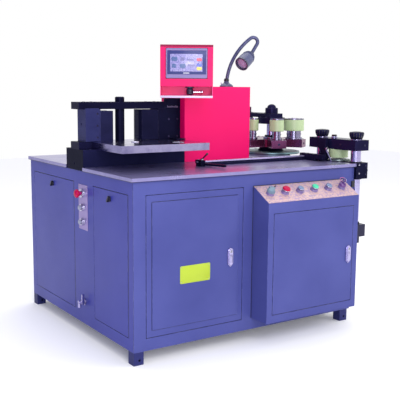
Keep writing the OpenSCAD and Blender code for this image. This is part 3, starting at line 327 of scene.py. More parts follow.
# painted shadow: dark lines on the left panel in the gaps round the two side doors
for seam_y, seam_z in (((607, 611.5), (117, 761.5)), ((43, 47.5), (117, 761.5)),
                       ((608, 1140), (758, 761.5)), ((44, 396), (758, 761.5))):
    zone(side_sheet, y=seam_y, z=seam_z, colour=GAP_SHADE)
zone(tool_leaf, x=(67, 585), y=FOLD, z=(116, 761), colour=INNER)
zone(box_leaf, x=(684, 1188), y=BOX_FOLD, z=(154, 643), colour=INNER)
for leaf_y in ((613.5, 1135.5), (49.5, 391.5)):
    zone(side_leaf, x=FOLD, y=leaf_y, z=LEAF_Z, colour=INNER)
inner_sheet = paint("blue_powder_coat_inside", (74, 76, 142), (64, 66, 128), 0.45, coat=0.1)
dark_sheet = paint("dark_frame_paint", (46, 49, 104), (38, 41, 92), 0.45, bare=(96, 98, 150), wear=0.4,
                   coat=0.0, ior=1.25)
tower_red = gloss_red("gloss_red_paint")
console_red = gloss_red("gloss_red_console_paint")
# painted shade: the console housing is darker above 1418 mm, along its top
zone(console_red, z=(1418, None), colour=(140, 0, 62))
# painted light: the niche under the console, 1182.5 to 1226.5 mm up, is brightened
zone(console_red, z=(1182.5, 1226.5), colour=(255, 84, 160))

# steel
table_steel = metal("ground_table_steel", (150, 144, 190), (128, 122, 174), 0.3, (1.0, 26.0, 1.0), 9.0,
                    metallic=0.7, coat=0.25, height=0.05)
# painted shadow: a dark band along the lowest 2.6 mm of the table top, under its lip
zone(table_steel, z=(None, 822.6), colour=(40, 38, 84))
work_steel = metal("polished_work_plate", (176, 170, 206), (120, 114, 156), 0.16, (1.0, 30.0, 1.0), 14.0)
black_steel = oiled("blued_black_steel", *BLACK)
column_black = oiled("blued_die_column_steel", (54, 56, 102), (40, 42, 84))
bed_black = oiled("blued_bed_steel", (32, 33, 68), (21, 22, 52), stretch=LENGTHWISE)


def left_face(node):
    """The limit, in cabinet millimetres, that parts a solid's left face from the rest."""
    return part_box(node)[0][0] * 1000 + MIDDLE[0] + 0.6


# painted shade: the die column's left face is darker than its front
zone(column_black, x=(None, left_face("die_column")), colour=(34, 36, 80))
zone(column_black, z=(None, 957.5), colour=(22, 22, 50))
# painted shade: the bed's left end face is nearly black and not metallic
zone(bed_black, x=(None, left_face("bender_bed")), colour=(6, 8, 34), metallic=0.0)
black_beam = oiled("blued_black_beam_steel", *BLACK, stretch=LENGTHWISE)
press_black = oiled("dark_press_steel", (34, 31, 68), (20, 18, 44), 0.24, LENGTHWISE, 18.0)
punch_base = oiled("blued_black_bolster_steel", *BLACK)
zone(punch_base, z=(841.1, 850.6), colour=(116, 144, 146), metallic=0.8)
# painted shade: the fence is lit ground steel only above 855.5 mm and left of x 1214, and the dark colour
# elsewhere stands in for shade
fence_steel = oiled("fence_steel_painted_shade_below", (28, 26, 58), (17, 16, 40), 0.34, LENGTHWISE, 18.0)
zone(fence_steel, x=(None, 1214), z=(855.5, None), colour=(196, 186, 224), metallic=0.8)
die_grey = metal("grey_tool_steel", (38, 38, 76), (24, 25, 54), 0.3, (1.0, 1.0, 22.0), 16.0,
                 metallic=0.5, bare=(150, 148, 168), bare_metallic=0.9, wear=0.5, ior=1.15)
ram_steel = oiled("blued_ram_steel", (28, 28, 58), (16, 16, 40), 0.3, LENGTHWISE, 16.0)
tie_steel = metal("chromed_column", (204, 196, 234), (150, 142, 190), 0.16, (1.0, 1.0, 30.0), 22.0)
zone(tie_steel, z=(None, 514), colour=(18, 15, 52), metallic=0.3, roughness=0.34)
turned_steel = metal("turned_steel", (150, 146, 172), (104, 100, 128), 0.28, (1.0, 1.0, 60.0), 16.0)
cylinder_metal = metal("machined_cylinder_cap", (150, 148, 176), (110, 108, 138), 0.26,
                       (1.0, 1.0, 40.0), 16.0)
tool_metal = metal("ground_tool_steel", (158, 152, 180), (116, 110, 138), 0.22, (1.0, 1.0, 40.0), 16.0)
turret_steel = metal("plum_turret_steel", (132, 74, 116), (98, 46, 82), 0.24, (30.0, 30.0, 1.0), 10.0,
                     metallic=0.85, bare=(176, 166, 200), bare_metallic=0.95, wear=0.7)
die_plate = metal("oiled_die_plate", (140, 152, 148), (98, 110, 110), 0.3, (30.0, 30.0, 1.0), 6.0,
                  metallic=0.8)
chrome = metal("polished_handle", (190, 184, 222), (160, 154, 196), 0.12, (1.0, 1.0, 20.0), 30.0)
zinc = small_metal("zinc_screw", (190, 186, 204), (146, 142, 162))
dark_screw = small_metal("black_oxide_screw", (58, 54, 92), (36, 34, 62), 0.3, metallic=0.7)
neck_metal = small_metal("ribbed_neck_steel", (98, 98, 140), (62, 62, 98), 0.28)
# painted glint: the near-white colour of the work plate's bush and plug stands in for the glint on them
bush_glint = small_metal("bush_painted_glint", (236, 234, 246), (214, 210, 232), 0.3, metallic=0.4)
rim_metal = small_metal("bright_control_rim", (206, 204, 222), (160, 158, 184), 0.2)

# soft and moulded
urethane = paint("pale_urethane", (184, 204, 158), (168, 190, 138), 0.38, coat=0.1, peel=180.0)
panel_pink = metal("brushed_control_panel", (228, 196, 188), (204, 170, 168), 0.36, (1.0, 40.0, 40.0), 18.0,
                   metallic=0.3)
mottle(panel_pink, 90.0, (176, 150, 186))
zone(panel_pink, x=(None, 20), colour=(150, 132, 184))
bezel = plastic("lilac_bezel", (126, 112, 168), (112, 98, 152), 0.4, coat=0.05)
lamp_metal = paint("lamp_paint", (76, 80, 116), (58, 62, 96), 0.3, coat=0.1)
lamp_dark = paint("lamp_rim_paint", (52, 56, 82), (40, 44, 68), 0.3)
lamp_glass = paint("frosted_lamp_glass", (168, 156, 190), (150, 140, 176), 0.16, coat=0.2)
black_plastic = plastic("black_plastic", (24, 24, 40), (18, 18, 30), 0.4, coat=0.0)
swivel_black = plastic("swivel_clamp_plastic", (40, 36, 72), (30, 27, 56), 0.36, coat=0.1)
zone(swivel_black, z=(None, 1214), outside=(527.2, 376.2, 19), colour=(226, 222, 240), metallic=0.9,
     roughness=0.15)
knob_black = plastic("moulded_knob", (22, 20, 38), (15, 14, 28), coat=0.2)
red_plastic = plastic("red_plastic", (196, 0, 122), (178, 0, 110), coat=0.0, ior=1.3)
green_plastic = plastic("green_plastic", (40, 150, 110), (30, 132, 96), 0.3)
teal_plastic = plastic("teal_grey_plastic", (104, 132, 152), (88, 116, 138), 0.34)
pink_plastic = plastic("pink_plastic", (196, 120, 176), (176, 100, 156), 0.32)
key_purple = plastic("key_switch_plastic", (112, 70, 140), (92, 56, 120), 0.32)
stop_red = plastic("stop_cap_plastic", (184, 0, 66), (168, 0, 58), 0.26, coat=0.0, ior=1.3)
start_mint = plastic("start_cap_plastic", (58, 206, 158), (46, 190, 142), 0.26)
button_blue = plastic("button_cap_plastic", (114, 134, 168), (98, 118, 152))
button_grey = plastic("side_cap_plastic", (150, 154, 176), (130, 134, 158), 0.3)
collar_purple = plastic("control_collar_plastic", (122, 106, 160), (104, 90, 142), 0.3)
device_plastic = paint("device_plastic", (186, 188, 190), (168, 170, 174), 0.42, peel=700.0)
tank_paint = paint("tank_paint", (90, 112, 150), (78, 98, 136), 0.36)
motor_paint = paint("motor_paint", (120, 126, 132), (104, 110, 118), 0.48, peel=260.0, height=0.08)

# printed and lit faces
screen_margin = plastic("screen_margin", (66, 70, 128), (58, 62, 118), 0.25, coat=0.0, ior=1.35)
screen_light = plastic("lit_screen", (188, 182, 226), (170, 162, 214), 0.2, coat=0.1)
mottle(screen_light, 300.0, (92, 90, 160))
teal, red, slate, blue, yellow = (paint("screen_" + name, colour, shade, 0.25) for name, colour, shade in (
    ("teal", (62, 92, 150), (54, 84, 140)), ("red", (222, 60, 96), (206, 52, 86)),
    ("slate", (108, 104, 160), (98, 94, 150)), ("blue", (72, 92, 190), (64, 82, 178)),
    ("yellow", (226, 206, 96), (214, 194, 84))))
status_white = paint("white_mark", (238, 236, 246), (228, 226, 238), 0.3)
tray_trim = paint("lilac_tray_strip", (220, 204, 236), (206, 190, 226), 0.3)
label_yellow = paint("blank_yellow_label", (180, 200, 66), (170, 190, 56), 0.36, coat=0.0, ior=1.3)
label_plate = paint("device_label", (214, 216, 218), (204, 206, 210), 0.4)
# painted shadow: dark strips standing in for shade in seams, round the tool door's raised field and beside
# the electrical box
seam_shadow = paint("painted_seam_shadow", (30, 30, 76), (24, 24, 66), 0.4, coat=0.0)
etched = paint("engraved_scale", (176, 168, 212), (164, 156, 200), 0.4)
etched_dark = paint("blackened_scale", (46, 42, 84), (38, 34, 72), 0.4)

# what each CAD node is made of
NODE_FINISH = (
    (dark_sheet, "base_frame"), (front_sheet, "front_panel"), (side_sheet, "left_panel"),
    (blue_sheet, "rear_walls"), (inner_sheet, "tool_bin"), (table_steel, "table_top"),
    (bed_black, "bender_bed"), (column_black, "die_column"), (die_grey, "v_die"),
    (black_beam, "top_beam"), (black_steel, "end_housing press_bolster mandrel_pin fence_stop"),
    (turned_steel, "bender_cylinder console_bracket lower_cylinders"), (work_steel, "work_plate"),
    (tower_red, "tower_cover"), (fence_steel, "fence_bar"), (die_plate, "press_die"),
    (punch_base, "punch_bolster"), (lamp_metal, "lamp_stand lamp_head"),
    (chrome, "drain_valve tool_handle ebox_handle drain_handle"), (panel_pink, "control_plates"),
    (box_sheet, "ebox_shell"), (device_plastic, "switchgear"), (tank_paint, "power_unit"),
    (motor_paint, "pump_motor"), (tool_leaf, "tool_door"), (box_leaf, "ebox_door"),
    (side_leaf, "rear_door front_door"), (black_plastic, "rear_latch front_latch"),
    (red_plastic, "side_estop"), (button_grey, "side_button_upper side_button_lower"),
    (teal_plastic, "mode_switch"), (stop_red, "stop_button"), (button_blue, "jog_button reset_button"),
    (start_mint, "start_button"), (key_purple, "key_switch"), (ram_steel, "bender_ram"),
    (press_black, "press_beam punch_beam"), (tie_steel, "press_columns punch_columns"),
    (urethane, "press_stripper turret_strippers"), (turret_steel, "turret_plate"),
    (tool_metal, "turret_tools"), (console_red, "console_housing"), (bezel, "hmi_panel"),
    (swivel_black, "swivel_lock"),
)
for material, nodes in NODE_FINISH:
    for node_name in nodes.split():
        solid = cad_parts[node_name]
        solid.data.materials.clear()
        solid.data.materials.append(material)


# ---------------------------------------------------------------- ways to shape a piece

TURN = math.radians(33.5)
SLOPE = Matrix.Rotation(math.atan2(68, 120), 4, "X")
STOOD_UP = Matrix.Rotation(math.pi / 2, 4, "X")
SHARP = math.radians(35)
POST, LAMP, TURRET = (627, 556), (881, 560), (1344, 740)
PRESS_X, PRESS_Y, PUNCH_Y = 1344, (30, 292), (740, 1002)
BOX_TOP = (-60, 727)
SIDE_CONTROLS = 502.5


def moved(bm, place):
    bmesh.ops.transform(bm, matrix=place, verts=bm.verts)
    return bm


def stand(where, axis=UP):
    """Carries a shape drawn up the Z axis to a point, along another axis."""
    turn = Vector(UP).rotation_difference(Vector(axis)).to_matrix().to_4x4()
    return Matrix.Translation(Vector(where)) @ turn


def spun(degrees, axis="Z"):
    return Matrix.Rotation(math.radians(degrees), 4, axis)


def facing_operator(centre):
    """The frame of the console or the lamp, turned towards the operator."""
    return Matrix.Translation((centre[0], centre[1], 0)) @ Matrix.Rotation(-TURN, 4, "Z")


def on_panel(i):
    """The frame of a control on the sloped panel: origin on the box, Z out of it."""
    return Matrix.Translation((699 + 92 * i, *BOX_TOP)) @ SLOPE


def turns(count, first=0):
    """Angles evenly round a circle, the first in degrees."""
    return [math.radians(first + 360 * i / count) for i in range(count)]


def circle(centre, z, r, angles):
    return [(centre[0] + r * math.cos(a), centre[1] + r * math.sin(a), z) for a in angles]


def bevel(bm, edges, width, segments=2, clamp=False):
    bmesh.ops.bevel(bm, geom=list(edges), offset=width, offset_type="OFFSET", affect="EDGES",
                    segments=segments, profile=0.5, material=-1, clamp_overlap=clamp)
    return bm


def pushed(bm, face, shift):
    """Extrudes a face along a vector."""
    grown = bmesh.ops.extrude_face_region(bm, geom=[face])["geom"]
    bmesh.ops.translate(bm, vec=shift, verts=[g for g in grown if isinstance(g, bmesh.types.BMVert)])


def block(x, y, z, edge=0.0, segments=2):
    """A block given by its low and high sides, with rounded edges."""
    bm = bmesh.new()
    bmesh.ops.create_cube(bm, size=1.0)
    bmesh.ops.scale(bm, vec=(x[1] - x[0], y[1] - y[0], z[1] - z[0]), verts=bm.verts)
    bmesh.ops.translate(bm, vec=((x[0] + x[1]) / 2, (y[0] + y[1]) / 2, (z[0] + z[1]) / 2), verts=bm.verts)
    return bevel(bm, bm.edges, edge, segments, True) if edge else bm


def rod(where, axis, length, r, r2=None, sides=32, edge=0.0):
    """A round bar from a point, along an axis."""
    bm = bmesh.new()
    bmesh.ops.create_cone(bm, cap_ends=True, segments=sides, radius1=r, radius2=r if r2 is None else r2,
                          depth=length)
    bmesh.ops.translate(bm, vec=(0, 0, length / 2), verts=bm.verts)
    if edge:
        bevel(bm, [e for e in bm.edges if any(len(f.verts) > 4 for f in e.link_faces)], edge, 2, True)
    return moved(bm, stand(where, axis))


def lathe(profile, where=(0, 0, 0), axis=UP, sides=40):
    """A turned piece: its half outline, as radius and height, spun round an axis."""
    bm = bmesh.new()
    verts = [bm.verts.new((r, 0, z)) for r, z in profile]
    edges = [bm.edges.new(pair) for pair in zip(verts, verts[1:])]
    bmesh.ops.spin(bm, geom=verts + edges, cent=(0, 0, 0), axis=UP, angle=math.tau, steps=sides,
                   use_merge=True)
    bmesh.ops.remove_doubles(bm, verts=bm.verts, dist=0.0001)
    return moved(bm, stand(where, axis))


def ring(inner, outer, low, high, where=(0, 0, 0), edge=0.6, sides=40):
    """A washer or collar with softened corners."""
    outline = [(inner, low), (outer - edge, low), (outer, low + edge), (outer, high - edge),
               (outer - edge, high), (inner + edge, high), (inner, high - edge), (inner, low)]
    return lathe(outline, where, sides=sides)


def flat(outline, low, high, edge=0.0):
    """A plate cut to an outline in x and y."""
    bm = bmesh.new()
    pushed(bm, bm.faces.new([bm.verts.new((x, y, low)) for x, y in outline]), (0, 0, high - low))
    bmesh.ops.recalc_face_normals(bm, faces=bm.faces)
    return bevel(bm, bm.edges, edge, 2, True) if edge else bm


def rounded(w, h, r, steps=4):
    """A rectangle's outline with round corners, about the origin."""
    out = []
    for k, (sx, sy) in enumerate(((1, 1), (-1, 1), (-1, -1), (1, -1))):
        for i in range(steps + 1):
            a = math.radians(90 * k + 90 * i / steps)
            out.append((sx * (w / 2 - r) + r * math.cos(a), sy * (h / 2 - r) + r * math.sin(a)))
    return out


def topmost(bm, then=lambda face: 0):
    """The highest face, or of several the one with the most of something else."""
    return max(bm.faces, key=lambda f: (round(f.calc_center_median().z, 4), then(f)))


def socket_screw(where, axis, r, h):
    """The head of a socket screw, with its hexagon hole."""
    bm = rod((0, 0, 0), UP, h, r, sides=24)
    bevel(bm, topmost(bm).edges, r * 0.12)
    top = topmost(bm, lambda f: f.calc_area())
    bmesh.ops.inset_region(bm, faces=[top], thickness=r * 0.3, use_even_offset=True)
    top = topmost(bm, lambda f: len(f.verts))
    flats = r * 0.5
    for v in top.verts:
        a = math.atan2(v.co.y, v.co.x) % math.radians(60) - math.radians(30)
        scale = flats / math.cos(a) / math.hypot(v.co.x, v.co.y)
        v.co.x, v.co.y = v.co.x * scale, v.co.y * scale
    pushed(bm, top, (0, 0, -h * 0.55))
    if top.is_valid:
        bmesh.ops.delete(bm, geom=[top], context="FACES")
    return moved(bm, stand(where, axis))


def pan_screw(where, axis, r, h=None):
    """A low domed screw head."""
    h = h or r * 0.55
    dome = [(0, h), (r * 0.3, h * 0.98), (r * 0.62, h * 0.84), (r * 0.88, h * 0.5), (r, 0.0), (0, 0.0)]
    return lathe(dome, where, axis, 20)


def hexagon(where, axis, r, h):
    """A hexagon nut or bolt head with its corners turned off."""
    bm = rod((0, 0, 0), UP, h, r, sides=6)
    return moved(bevel(bm, topmost(bm).edges, r * 0.1, 1), stand(where, axis))


def screws(spots, axis, r, h, stuff=dark_screw):
    """The same socket screw at several places."""
    return [(socket_screw(spot, axis, r, h), stuff) for spot in spots]


def pans(spots, axis, r, h=None):
    """The same domed screw at several places."""
    return [(pan_screw(spot, axis, r, h), zinc) for spot in spots]


def pipe(points, r, sides=12, radii=(1.0,), smooth=True):
    """A round tube along a path, as a mesh. Its radius is scaled by the numbers in turn."""
    curve = bpy.data.curves.new("path", "CURVE")
    curve.dimensions = "3D"
    curve.bevel_depth = r
    curve.bevel_resolution = sides // 4
    curve.use_fill_caps = True
    line = curve.splines.new("BEZIER" if smooth else "POLY")
    spots = line.bezier_points if smooth else line.points
    spots.add(len(points) - 1)
    for i, (spot, p) in enumerate(zip(spots, points)):
        spot.co = p if smooth else (*p, 1)
        if smooth:
            spot.handle_left_type = spot.handle_right_type = "AUTO"
        spot.radius = radii[i % len(radii)]
    curve.resolution_u = 6
    obj = shown("path", curve)
    bpy.context.view_layer.update()
    mesh = bpy.data.meshes.new_from_object(obj.evaluated_get(bpy.context.evaluated_depsgraph_get()))
    bm = bmesh.new()
    bm.from_mesh(mesh)
    bmesh.ops.remove_doubles(bm, verts=bm.verts, dist=0.0001)
    bpy.data.objects.remove(obj)
    bpy.data.curves.remove(curve)
    bpy.data.meshes.remove(mesh)
    return bm


def carried(parts, place):
    return [(moved(shape, place), material) for shape, material in parts]


def piece(name, parts, body, place=None):
    """Joins shapes, each with its material, into one piece that rides on a body."""
    whole = bpy.data.meshes.new(name)
    bm = bmesh.new()
    for shape, material in carried(parts, place) if place else parts:
        if material.name not in whole.materials:
            whole.materials.append(material)
        index = whole.materials.find(material.name)
        bmesh.ops.recalc_face_normals(shape, faces=shape.faces)
        for face in shape.faces:
            face.material_index = index
            face.smooth = True
        part = bpy.data.meshes.new("part")
        shape.to_mesh(part)
        shape.free()
        bm.from_mesh(part)
        bpy.data.meshes.remove(part)
    for v in bm.verts:
        v.co = at(*v.co)
    bm.to_mesh(whole)
    bm.free()
    whole.set_sharp_from_angle(angle=SHARP)
    obj = shown(name, whole)
    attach(obj, body)
    return obj


# ---------------------------------------------------------------- console

GLASS_Y = -243.0
FIELDS = ((-75, -45, 1350, 1370, teal), (49, 75, 1350, 1364, red), (-73, -52, 1317, 1337, teal),
          (-34, -5, 1316, 1337, teal), (4, 43, 1325, 1334, slate), (49, 75, 1324, 1338, blue),
          (49, 75, 1306, 1322, yellow), (-30, -10, 1352, 1367, slate), (4, 34, 1352, 1360, slate))


def console_screen():
    """Touch screen: glass margin, the lit picture with plain coloured fields, and a status light."""
    parts = [(block((-94.6, 94.6), (GLASS_Y - 1.4, GLASS_Y), (1286.4, 1400.6), 0.5), screen_margin),
             (block((-81, 77.5), (GLASS_Y - 1.9, GLASS_Y - 1), (1299.5, 1384.5), 0.3), screen_light)]
    for left, right, low, high, stuff in FIELDS:
        shape = flat(rounded(right - left, high - low, min(high - low, right - left) * 0.3), 0, 0.5)
        middle = Matrix.Translation(((left + right) / 2, GLASS_Y - 1.8, (low + high) / 2))
        parts.append((moved(shape, middle @ STOOD_UP), stuff))
    parts.append((block((-17, 13), (GLASS_Y - 2.0, GLASS_Y - 1.2), (1290, 1294), 0.3), status_white))
    piece("console_screen", parts, "console", facing_operator(POST))


def console_trim():
    """Bright strip along the tray's front edge, gasket round the screen, back cover and its screws."""
    parts = [(block((-129.5, 129.5), (-242.6, -240), (1171.2, 1182), 0.8), tray_trim),
             (block((-103, 103), (-241.2, -240), (1264.5, 1414), 0.5), black_plastic),
             (block((-112, 112), (-130, -128.4), (1306, 1416), 0.6), tower_red)]
    parts += pans(product((-104, 104), (-128.4,), (1313, 1409)), BACK, 4)
    for z in range(1330, 1396, 11):
        parts.append((block((-60, 60), (-128.6, -127.6), (z, z + 3), 0.8), black_plastic))
    parts += pans(product((-95, -60, 60, 95), (-160,), (1171,)), DOWN, 3.2)
    piece("console_trim", parts, "console", facing_operator(POST))


def swivel_fittings():
    """Grip rings and the top screw of the swivel's clamp, and the post's cap and flange screws."""
    parts = [(ring(15.6, 17.8, z, z + 2.2, sides=28), black_plastic) for z in (1196, 1200, 1204)]
    parts.append((hexagon((0, 0, 1238.5), UP, 9, 7), zinc))
    parts.append((rod((57, 0, 1203), RIGHT, 6, 7.4, 8.2, 24, 0.6), chrome))
    clamp = facing_operator(POST) @ Matrix.Translation((16, -205, 0))
    piece("swivel_clamp_fittings", parts, "swivel_lock", clamp)
    cap = [(0, 1322), (21, 1322), (21.6, 1324), (20, 1329), (12, 1332), (0, 1333)]
    flange = screws(circle(POST, 1237, 40, turns(4, 45)), UP, 5, 4, zinc)
    parts = [(lathe(cap, (*POST, 0)), black_plastic), *flange]
    piece("post_flange_screws", parts, "frame")


# ---------------------------------------------------------------- lamp

def neck_path():
    """Points along the lamp's bent neck, in its own upright plane."""
    sweep, r, bend, turn = math.radians(52), 328.0, 24.0, math.radians(158)
    rise = [math.pi - sweep * i / 60 for i in range(5, 61)]
    out = [(r + r * math.cos(a), r * math.sin(a)) for a in rise]
    cx = r - r * math.cos(sweep) + bend * math.cos(sweep)
    cz = r * math.sin(sweep) - bend * math.sin(sweep)
    arch = [math.pi - sweep - turn * i / 14 for i in range(1, 15)]
    out += [(cx + bend * math.cos(a), cz + bend * math.sin(a)) for a in arch]
    x, z = out[-1]
    out += [(x - 2 * i, z - 0.866 * 4 * i) for i in range(1, 13)]
    return [(x, 0, z + 1227) for x, z in out]


def lamp_details():
    """The ribbed neck with its foot and switch, and the lamp's rim, glass, fins and yoke."""
    to = facing_operator(LAMP)
    points = neck_path()
    fine = []
    for a, b in zip(points, points[1:]):
        fine += [a, tuple((p + q) / 2 for p, q in zip(a, b))]
    neck = pipe(fine, 9.95, 12, (1.0, 0.955), False)
    foot = lathe([(11, 1257), (13.5, 1257), (14, 1259), (14, 1266), (12, 1270), (9.6, 1272)])
    switch = rod((-24, 0, 1239), (-0.5, 0, 0.87), 12, 3.2, 2.6, 16, 0.5)
    flange = pans(circle((0, 0), 1234, 31, (0.6, 2.7, 4.8)), UP, 3.4)
    piece("lamp_neck", [(neck, neck_metal), (foot, black_plastic), (switch, chrome), *flange],
          "frame", to)
    head = Vector(points[-1]) + Vector((-0.5, 0, -0.866)) * 14
    rim = lathe([(30.8, 94), (30.8, 104.5), (32, 106), (37, 106), (38.3, 104.5), (38.3, 97), (37.6, 96)])
    lens = lathe([(0, 98.6), (12, 98.3), (24, 97), (30.6, 94.5), (30.6, 92.2), (0, 92.2)])
    fins = [(ring(21, r, z, z + 2.6, edge=0.5), lamp_metal)
            for z, r in ((14, 30), (20, 32.4), (26, 34.4), (32, 36))]
    yoke = ring(13.5, 19, -2.5, 3.4, edge=1.0)
    piece("lamp_front", [(rim, lamp_dark), (lens, lamp_glass), (yoke, black_plastic), *fins],
          "frame", to @ Matrix.Translation(head) @ spun(52.5) @ spun(238.5, "Y"))


# ---------------------------------------------------------------- bending press

def bender_fastenings():
    """Screws of the die column, the beam, the housing and the bed, and the housing's travel scale."""
    parts = screws([(92, 530, 977 + 57.5 * i) for i in range(3)], FRONT, 4.6, 3.4)
    parts += screws([(12, 585, 850)], LEFT, 4.6, 4)
    parts += screws(product((52, 92, 400, 450), (556, 598), (1149,)), UP, 7.5, 1.4)
    parts += screws(product((500, 552), (533,), (972, 1060)), FRONT, 5.5, 1.4)
    parts += screws(product((40, 300, 540), (502, 668), (922,)), UP, 6.5, 2)
    for i in range(13):
        x, tall = 492 + 5 * i, 5 if i % 5 else 8
        parts.append((block((x, x + 1.1), (532.5, 533.1), (1122, 1122 + tall)), etched))
    parts.append((block((489, 556), (532.5, 533.1), (1120.4, 1121.4)), etched))
    piece("bender_fastenings", parts, "frame")


def mandrel_details():
    """A collar and a countersunk cap on the bending pin, and a bush and a plug in the work plate."""
    pin = (239, 576, 0)
    cap = [(0, 1172.2), (7.4, 1172.2), (8, 1173.6), (9.2, 1174.2), (9.2, 1170), (0, 1170)]
    parts = [(ring(8, 20.2, 1170, 1174, pin, edge=1.0), black_steel), (lathe(cap, pin), turned_steel)]
    piece("mandrel_cap", parts, "mandrel_pin")
    bush = ring(23.6, 29, 957, 957.8, (427, 320, 0), edge=0.3)
    piece("tool_bore_bush", [(bush, bush_glint)], "frame")
    plug = [(0, 957), (19, 957), (19, 959.6), (18.2, 960.4), (7, 960.4), (6.4, 959.4), (0, 959.4)]
    piece("spare_bore_plug", [(lathe(plug, (245, 428, 0)), bush_glint)], "frame")


# ---------------------------------------------------------------- presses and turret

PUNCH_R = 20
STATIONS = ((0, 23, 42), (1, 15, 27), (2, 14, 26), (5, 42, 59))
STATION_R = 140
TOOL_TOP = 1045


def press_pad():
    """The press's urethane sleeve, which on the real press is squeezed against the die as the beam comes
    down; this piece keeps its shape.
    """
    low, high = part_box("press_stripper")
    x, y = (low[0] + high[0]) / 2, (low[1] + high[1]) / 2
    r, tall = (high[0] - low[0]) * 500, (high[2] - low[2]) * 1000
    outline = [(PUNCH_R, 0.8), (PUNCH_R + 0.8, 0), (r - 1.6, 0), (r, 1.6), (r, tall - 1.6), (r - 1.6, tall),
               (PUNCH_R, tall), (PUNCH_R, 0.8)]
    centre = (x * 1000 + MIDDLE[0], y * 1000 + MIDDLE[1], low[2] * 1000)
    pad = piece("press_urethane_pad", [(lathe(outline, centre), urethane)], "press_slide")
    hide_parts("press_stripper")
    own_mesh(pad)


def station(i):
    """The frame of a turret station: origin on its centre line, -Y outwards."""
    return Matrix.Translation((*TURRET, 0)) @ spun(-25.5 - 60 * i) @ Matrix.Translation((0, -STATION_R, 0))


def turret_details():
    """Screws of the six seats, and rings and cap screws of the four tools."""
    parts = []
    for i in range(6):
        seat = screws([(0, -63, 900)], FRONT, 6.5, 2.2)
        seat += screws([(-33, -48, 923), (33, -48, 923)], UP, 4.2, 2.6)
        parts += carried(seat, station(i))
    for i, neck, cap in STATIONS:
        rings = [(ring(neck + 1, neck + 8, 923, 934.5, edge=1.4), tool_metal),
                 (ring(neck - 2, neck + 2.4, 950, 958, edge=1.0), tool_metal),
                 (ring(cap * 0.34, cap * 0.46, TOOL_TOP - 1, TOOL_TOP + 1.2, edge=0.5), tool_metal)]
        heads = screws(circle((0, 0), TOOL_TOP, cap * 0.72, turns(3, 30)), UP, max(2.4, cap * 0.07), 1.6)
        parts += carried(rings + heads, station(i))
    collar = [(38.2, 923), (46, 923), (47, 924), (47, 930), (45, 933), (38.2, 933)]
    parts.append((lathe(collar, (*TURRET, 0)), tool_metal))
    piece("turret_fittings", parts, "turret")


def column_feet(places):
    """Nuts at the lower ends of a press's columns."""
    nut = [(27.2, 500), (31, 500), (31.8, 501), (31.8, 508), (30, 511), (27.2, 511)]
    return [(lathe(nut, (PRESS_X, y, 13)), black_steel) for y in places]


def punch_fittings():
    """Screws, washers and column nuts of the rear press's beam."""
    hub = [math.radians(a) for a in (-22, 22, 158, 202)]
    parts = screws(circle(TURRET, 1048, 66, hub), UP, 5.5, 3.5)
    parts += [(ring(26.8, 32, 1101, 1104.4, (PRESS_X, y, 0), edge=1.0), black_steel) for y in PUNCH_Y]
    parts += screws([(PRESS_X, 800, 1072), (PRESS_X, 940, 1072)], UP, 8, 3) + column_feet(PUNCH_Y)
    piece("punch_press_fittings", parts, "punch_slide")


def knob(y):
    """Shallow flutes round a knob nut, and its raised middle."""
    flute = ((25.0, 2), (29.8, 10), (33.4, 20), (34.6, 28), (34.4, 34.2))
    parts = []
    for a in turns(16):
        route = [(r * math.cos(a), r * math.sin(a), z) for r, z in flute]
        parts.append((pipe(route, 4.2, 8, smooth=False), knob_black))
    top = lathe([(0, 38.4), (9, 38.4), (10.5, 39.6), (16, 40.4), (22, 39.8), (26, 38), (26, 37), (0, 37)])
    return carried([*parts, (top, knob_black)], Matrix.Translation((PRESS_X, y, 961)))


def press_fittings():
    """Knob flutes, the punch's nut, screws and column nuts of the front press's beam."""
    parts = knob(PRESS_Y[0]) + knob(PRESS_Y[1])
    parts += [(ring(12, 16.5, 958, 966, (PRESS_X, 196, 0), edge=1.2), chrome),
              (hexagon((PRESS_X, 196, 966), UP, 14.5, 10.5), knob_black)]
    parts += screws([(1295, 95, 930), (1295, 230, 930)], LEFT, 6, 2) + screws([(1364, -12, 930)], FRONT, 6, 2)
    piece("press_fittings", parts + column_feet(PRESS_Y), "press_slide")


def fixed_press_fittings():
    """Bolster screws, the die plate's screws, the cylinders' glands, the column wipers and a strut."""
    parts = []
    for z in (786, 831):
        parts += screws([(1323, -18, z)], FRONT, 4.6, 3, zinc) + screws([(1372, -18, z - 6)], FRONT, 4.6, 2)
    parts += screws([(1385, y, 800) for y in (-10, 160.0, 330, 622, 831.0, 1040)], RIGHT, 8, 3)
    parts += screws(circle((PRESS_X, 161), 847, 55, turns(4, 45)), UP, 4, 1.4)
    for y in (161, 871):
        parts += [(ring(60, 65.5, low, high, (PRESS_X, y, 0), edge=2.0), cylinder_metal)
                  for low, high in ((742, 756.8), (600.5, 618))]
        parts += [(hexagon((1405, y, z), RIGHT, 11, 12), zinc) for z in (610, 738)]
    wipers = [(y, 752, 757) for y in (*PRESS_Y, *PUNCH_Y)] + [(y, 841, 844.5) for y in PRESS_Y]
    for y, low, high in (*wipers, (PUNCH_Y[1], 841, 846.5)):
        parts.append((ring(27.3, 33, low, high, (PRESS_X, y, 0), edge=1.2), black_plastic))
    parts += screws(circle(TURRET, 850, 150, turns(6, 30)), UP, 6, 2, zinc)
    strut = [(1275, 187, 905), (1275, 172, 884), (1275, 146, 846), (1275, 141, 840)]
    parts.append((pipe(strut, 4.6), chrome))
    parts.append((hexagon((1275, 180, 905), FRONT, 8, 7), zinc))
    piece("press_frame_fittings", parts, "frame")


# ---------------------------------------------------------------- fence

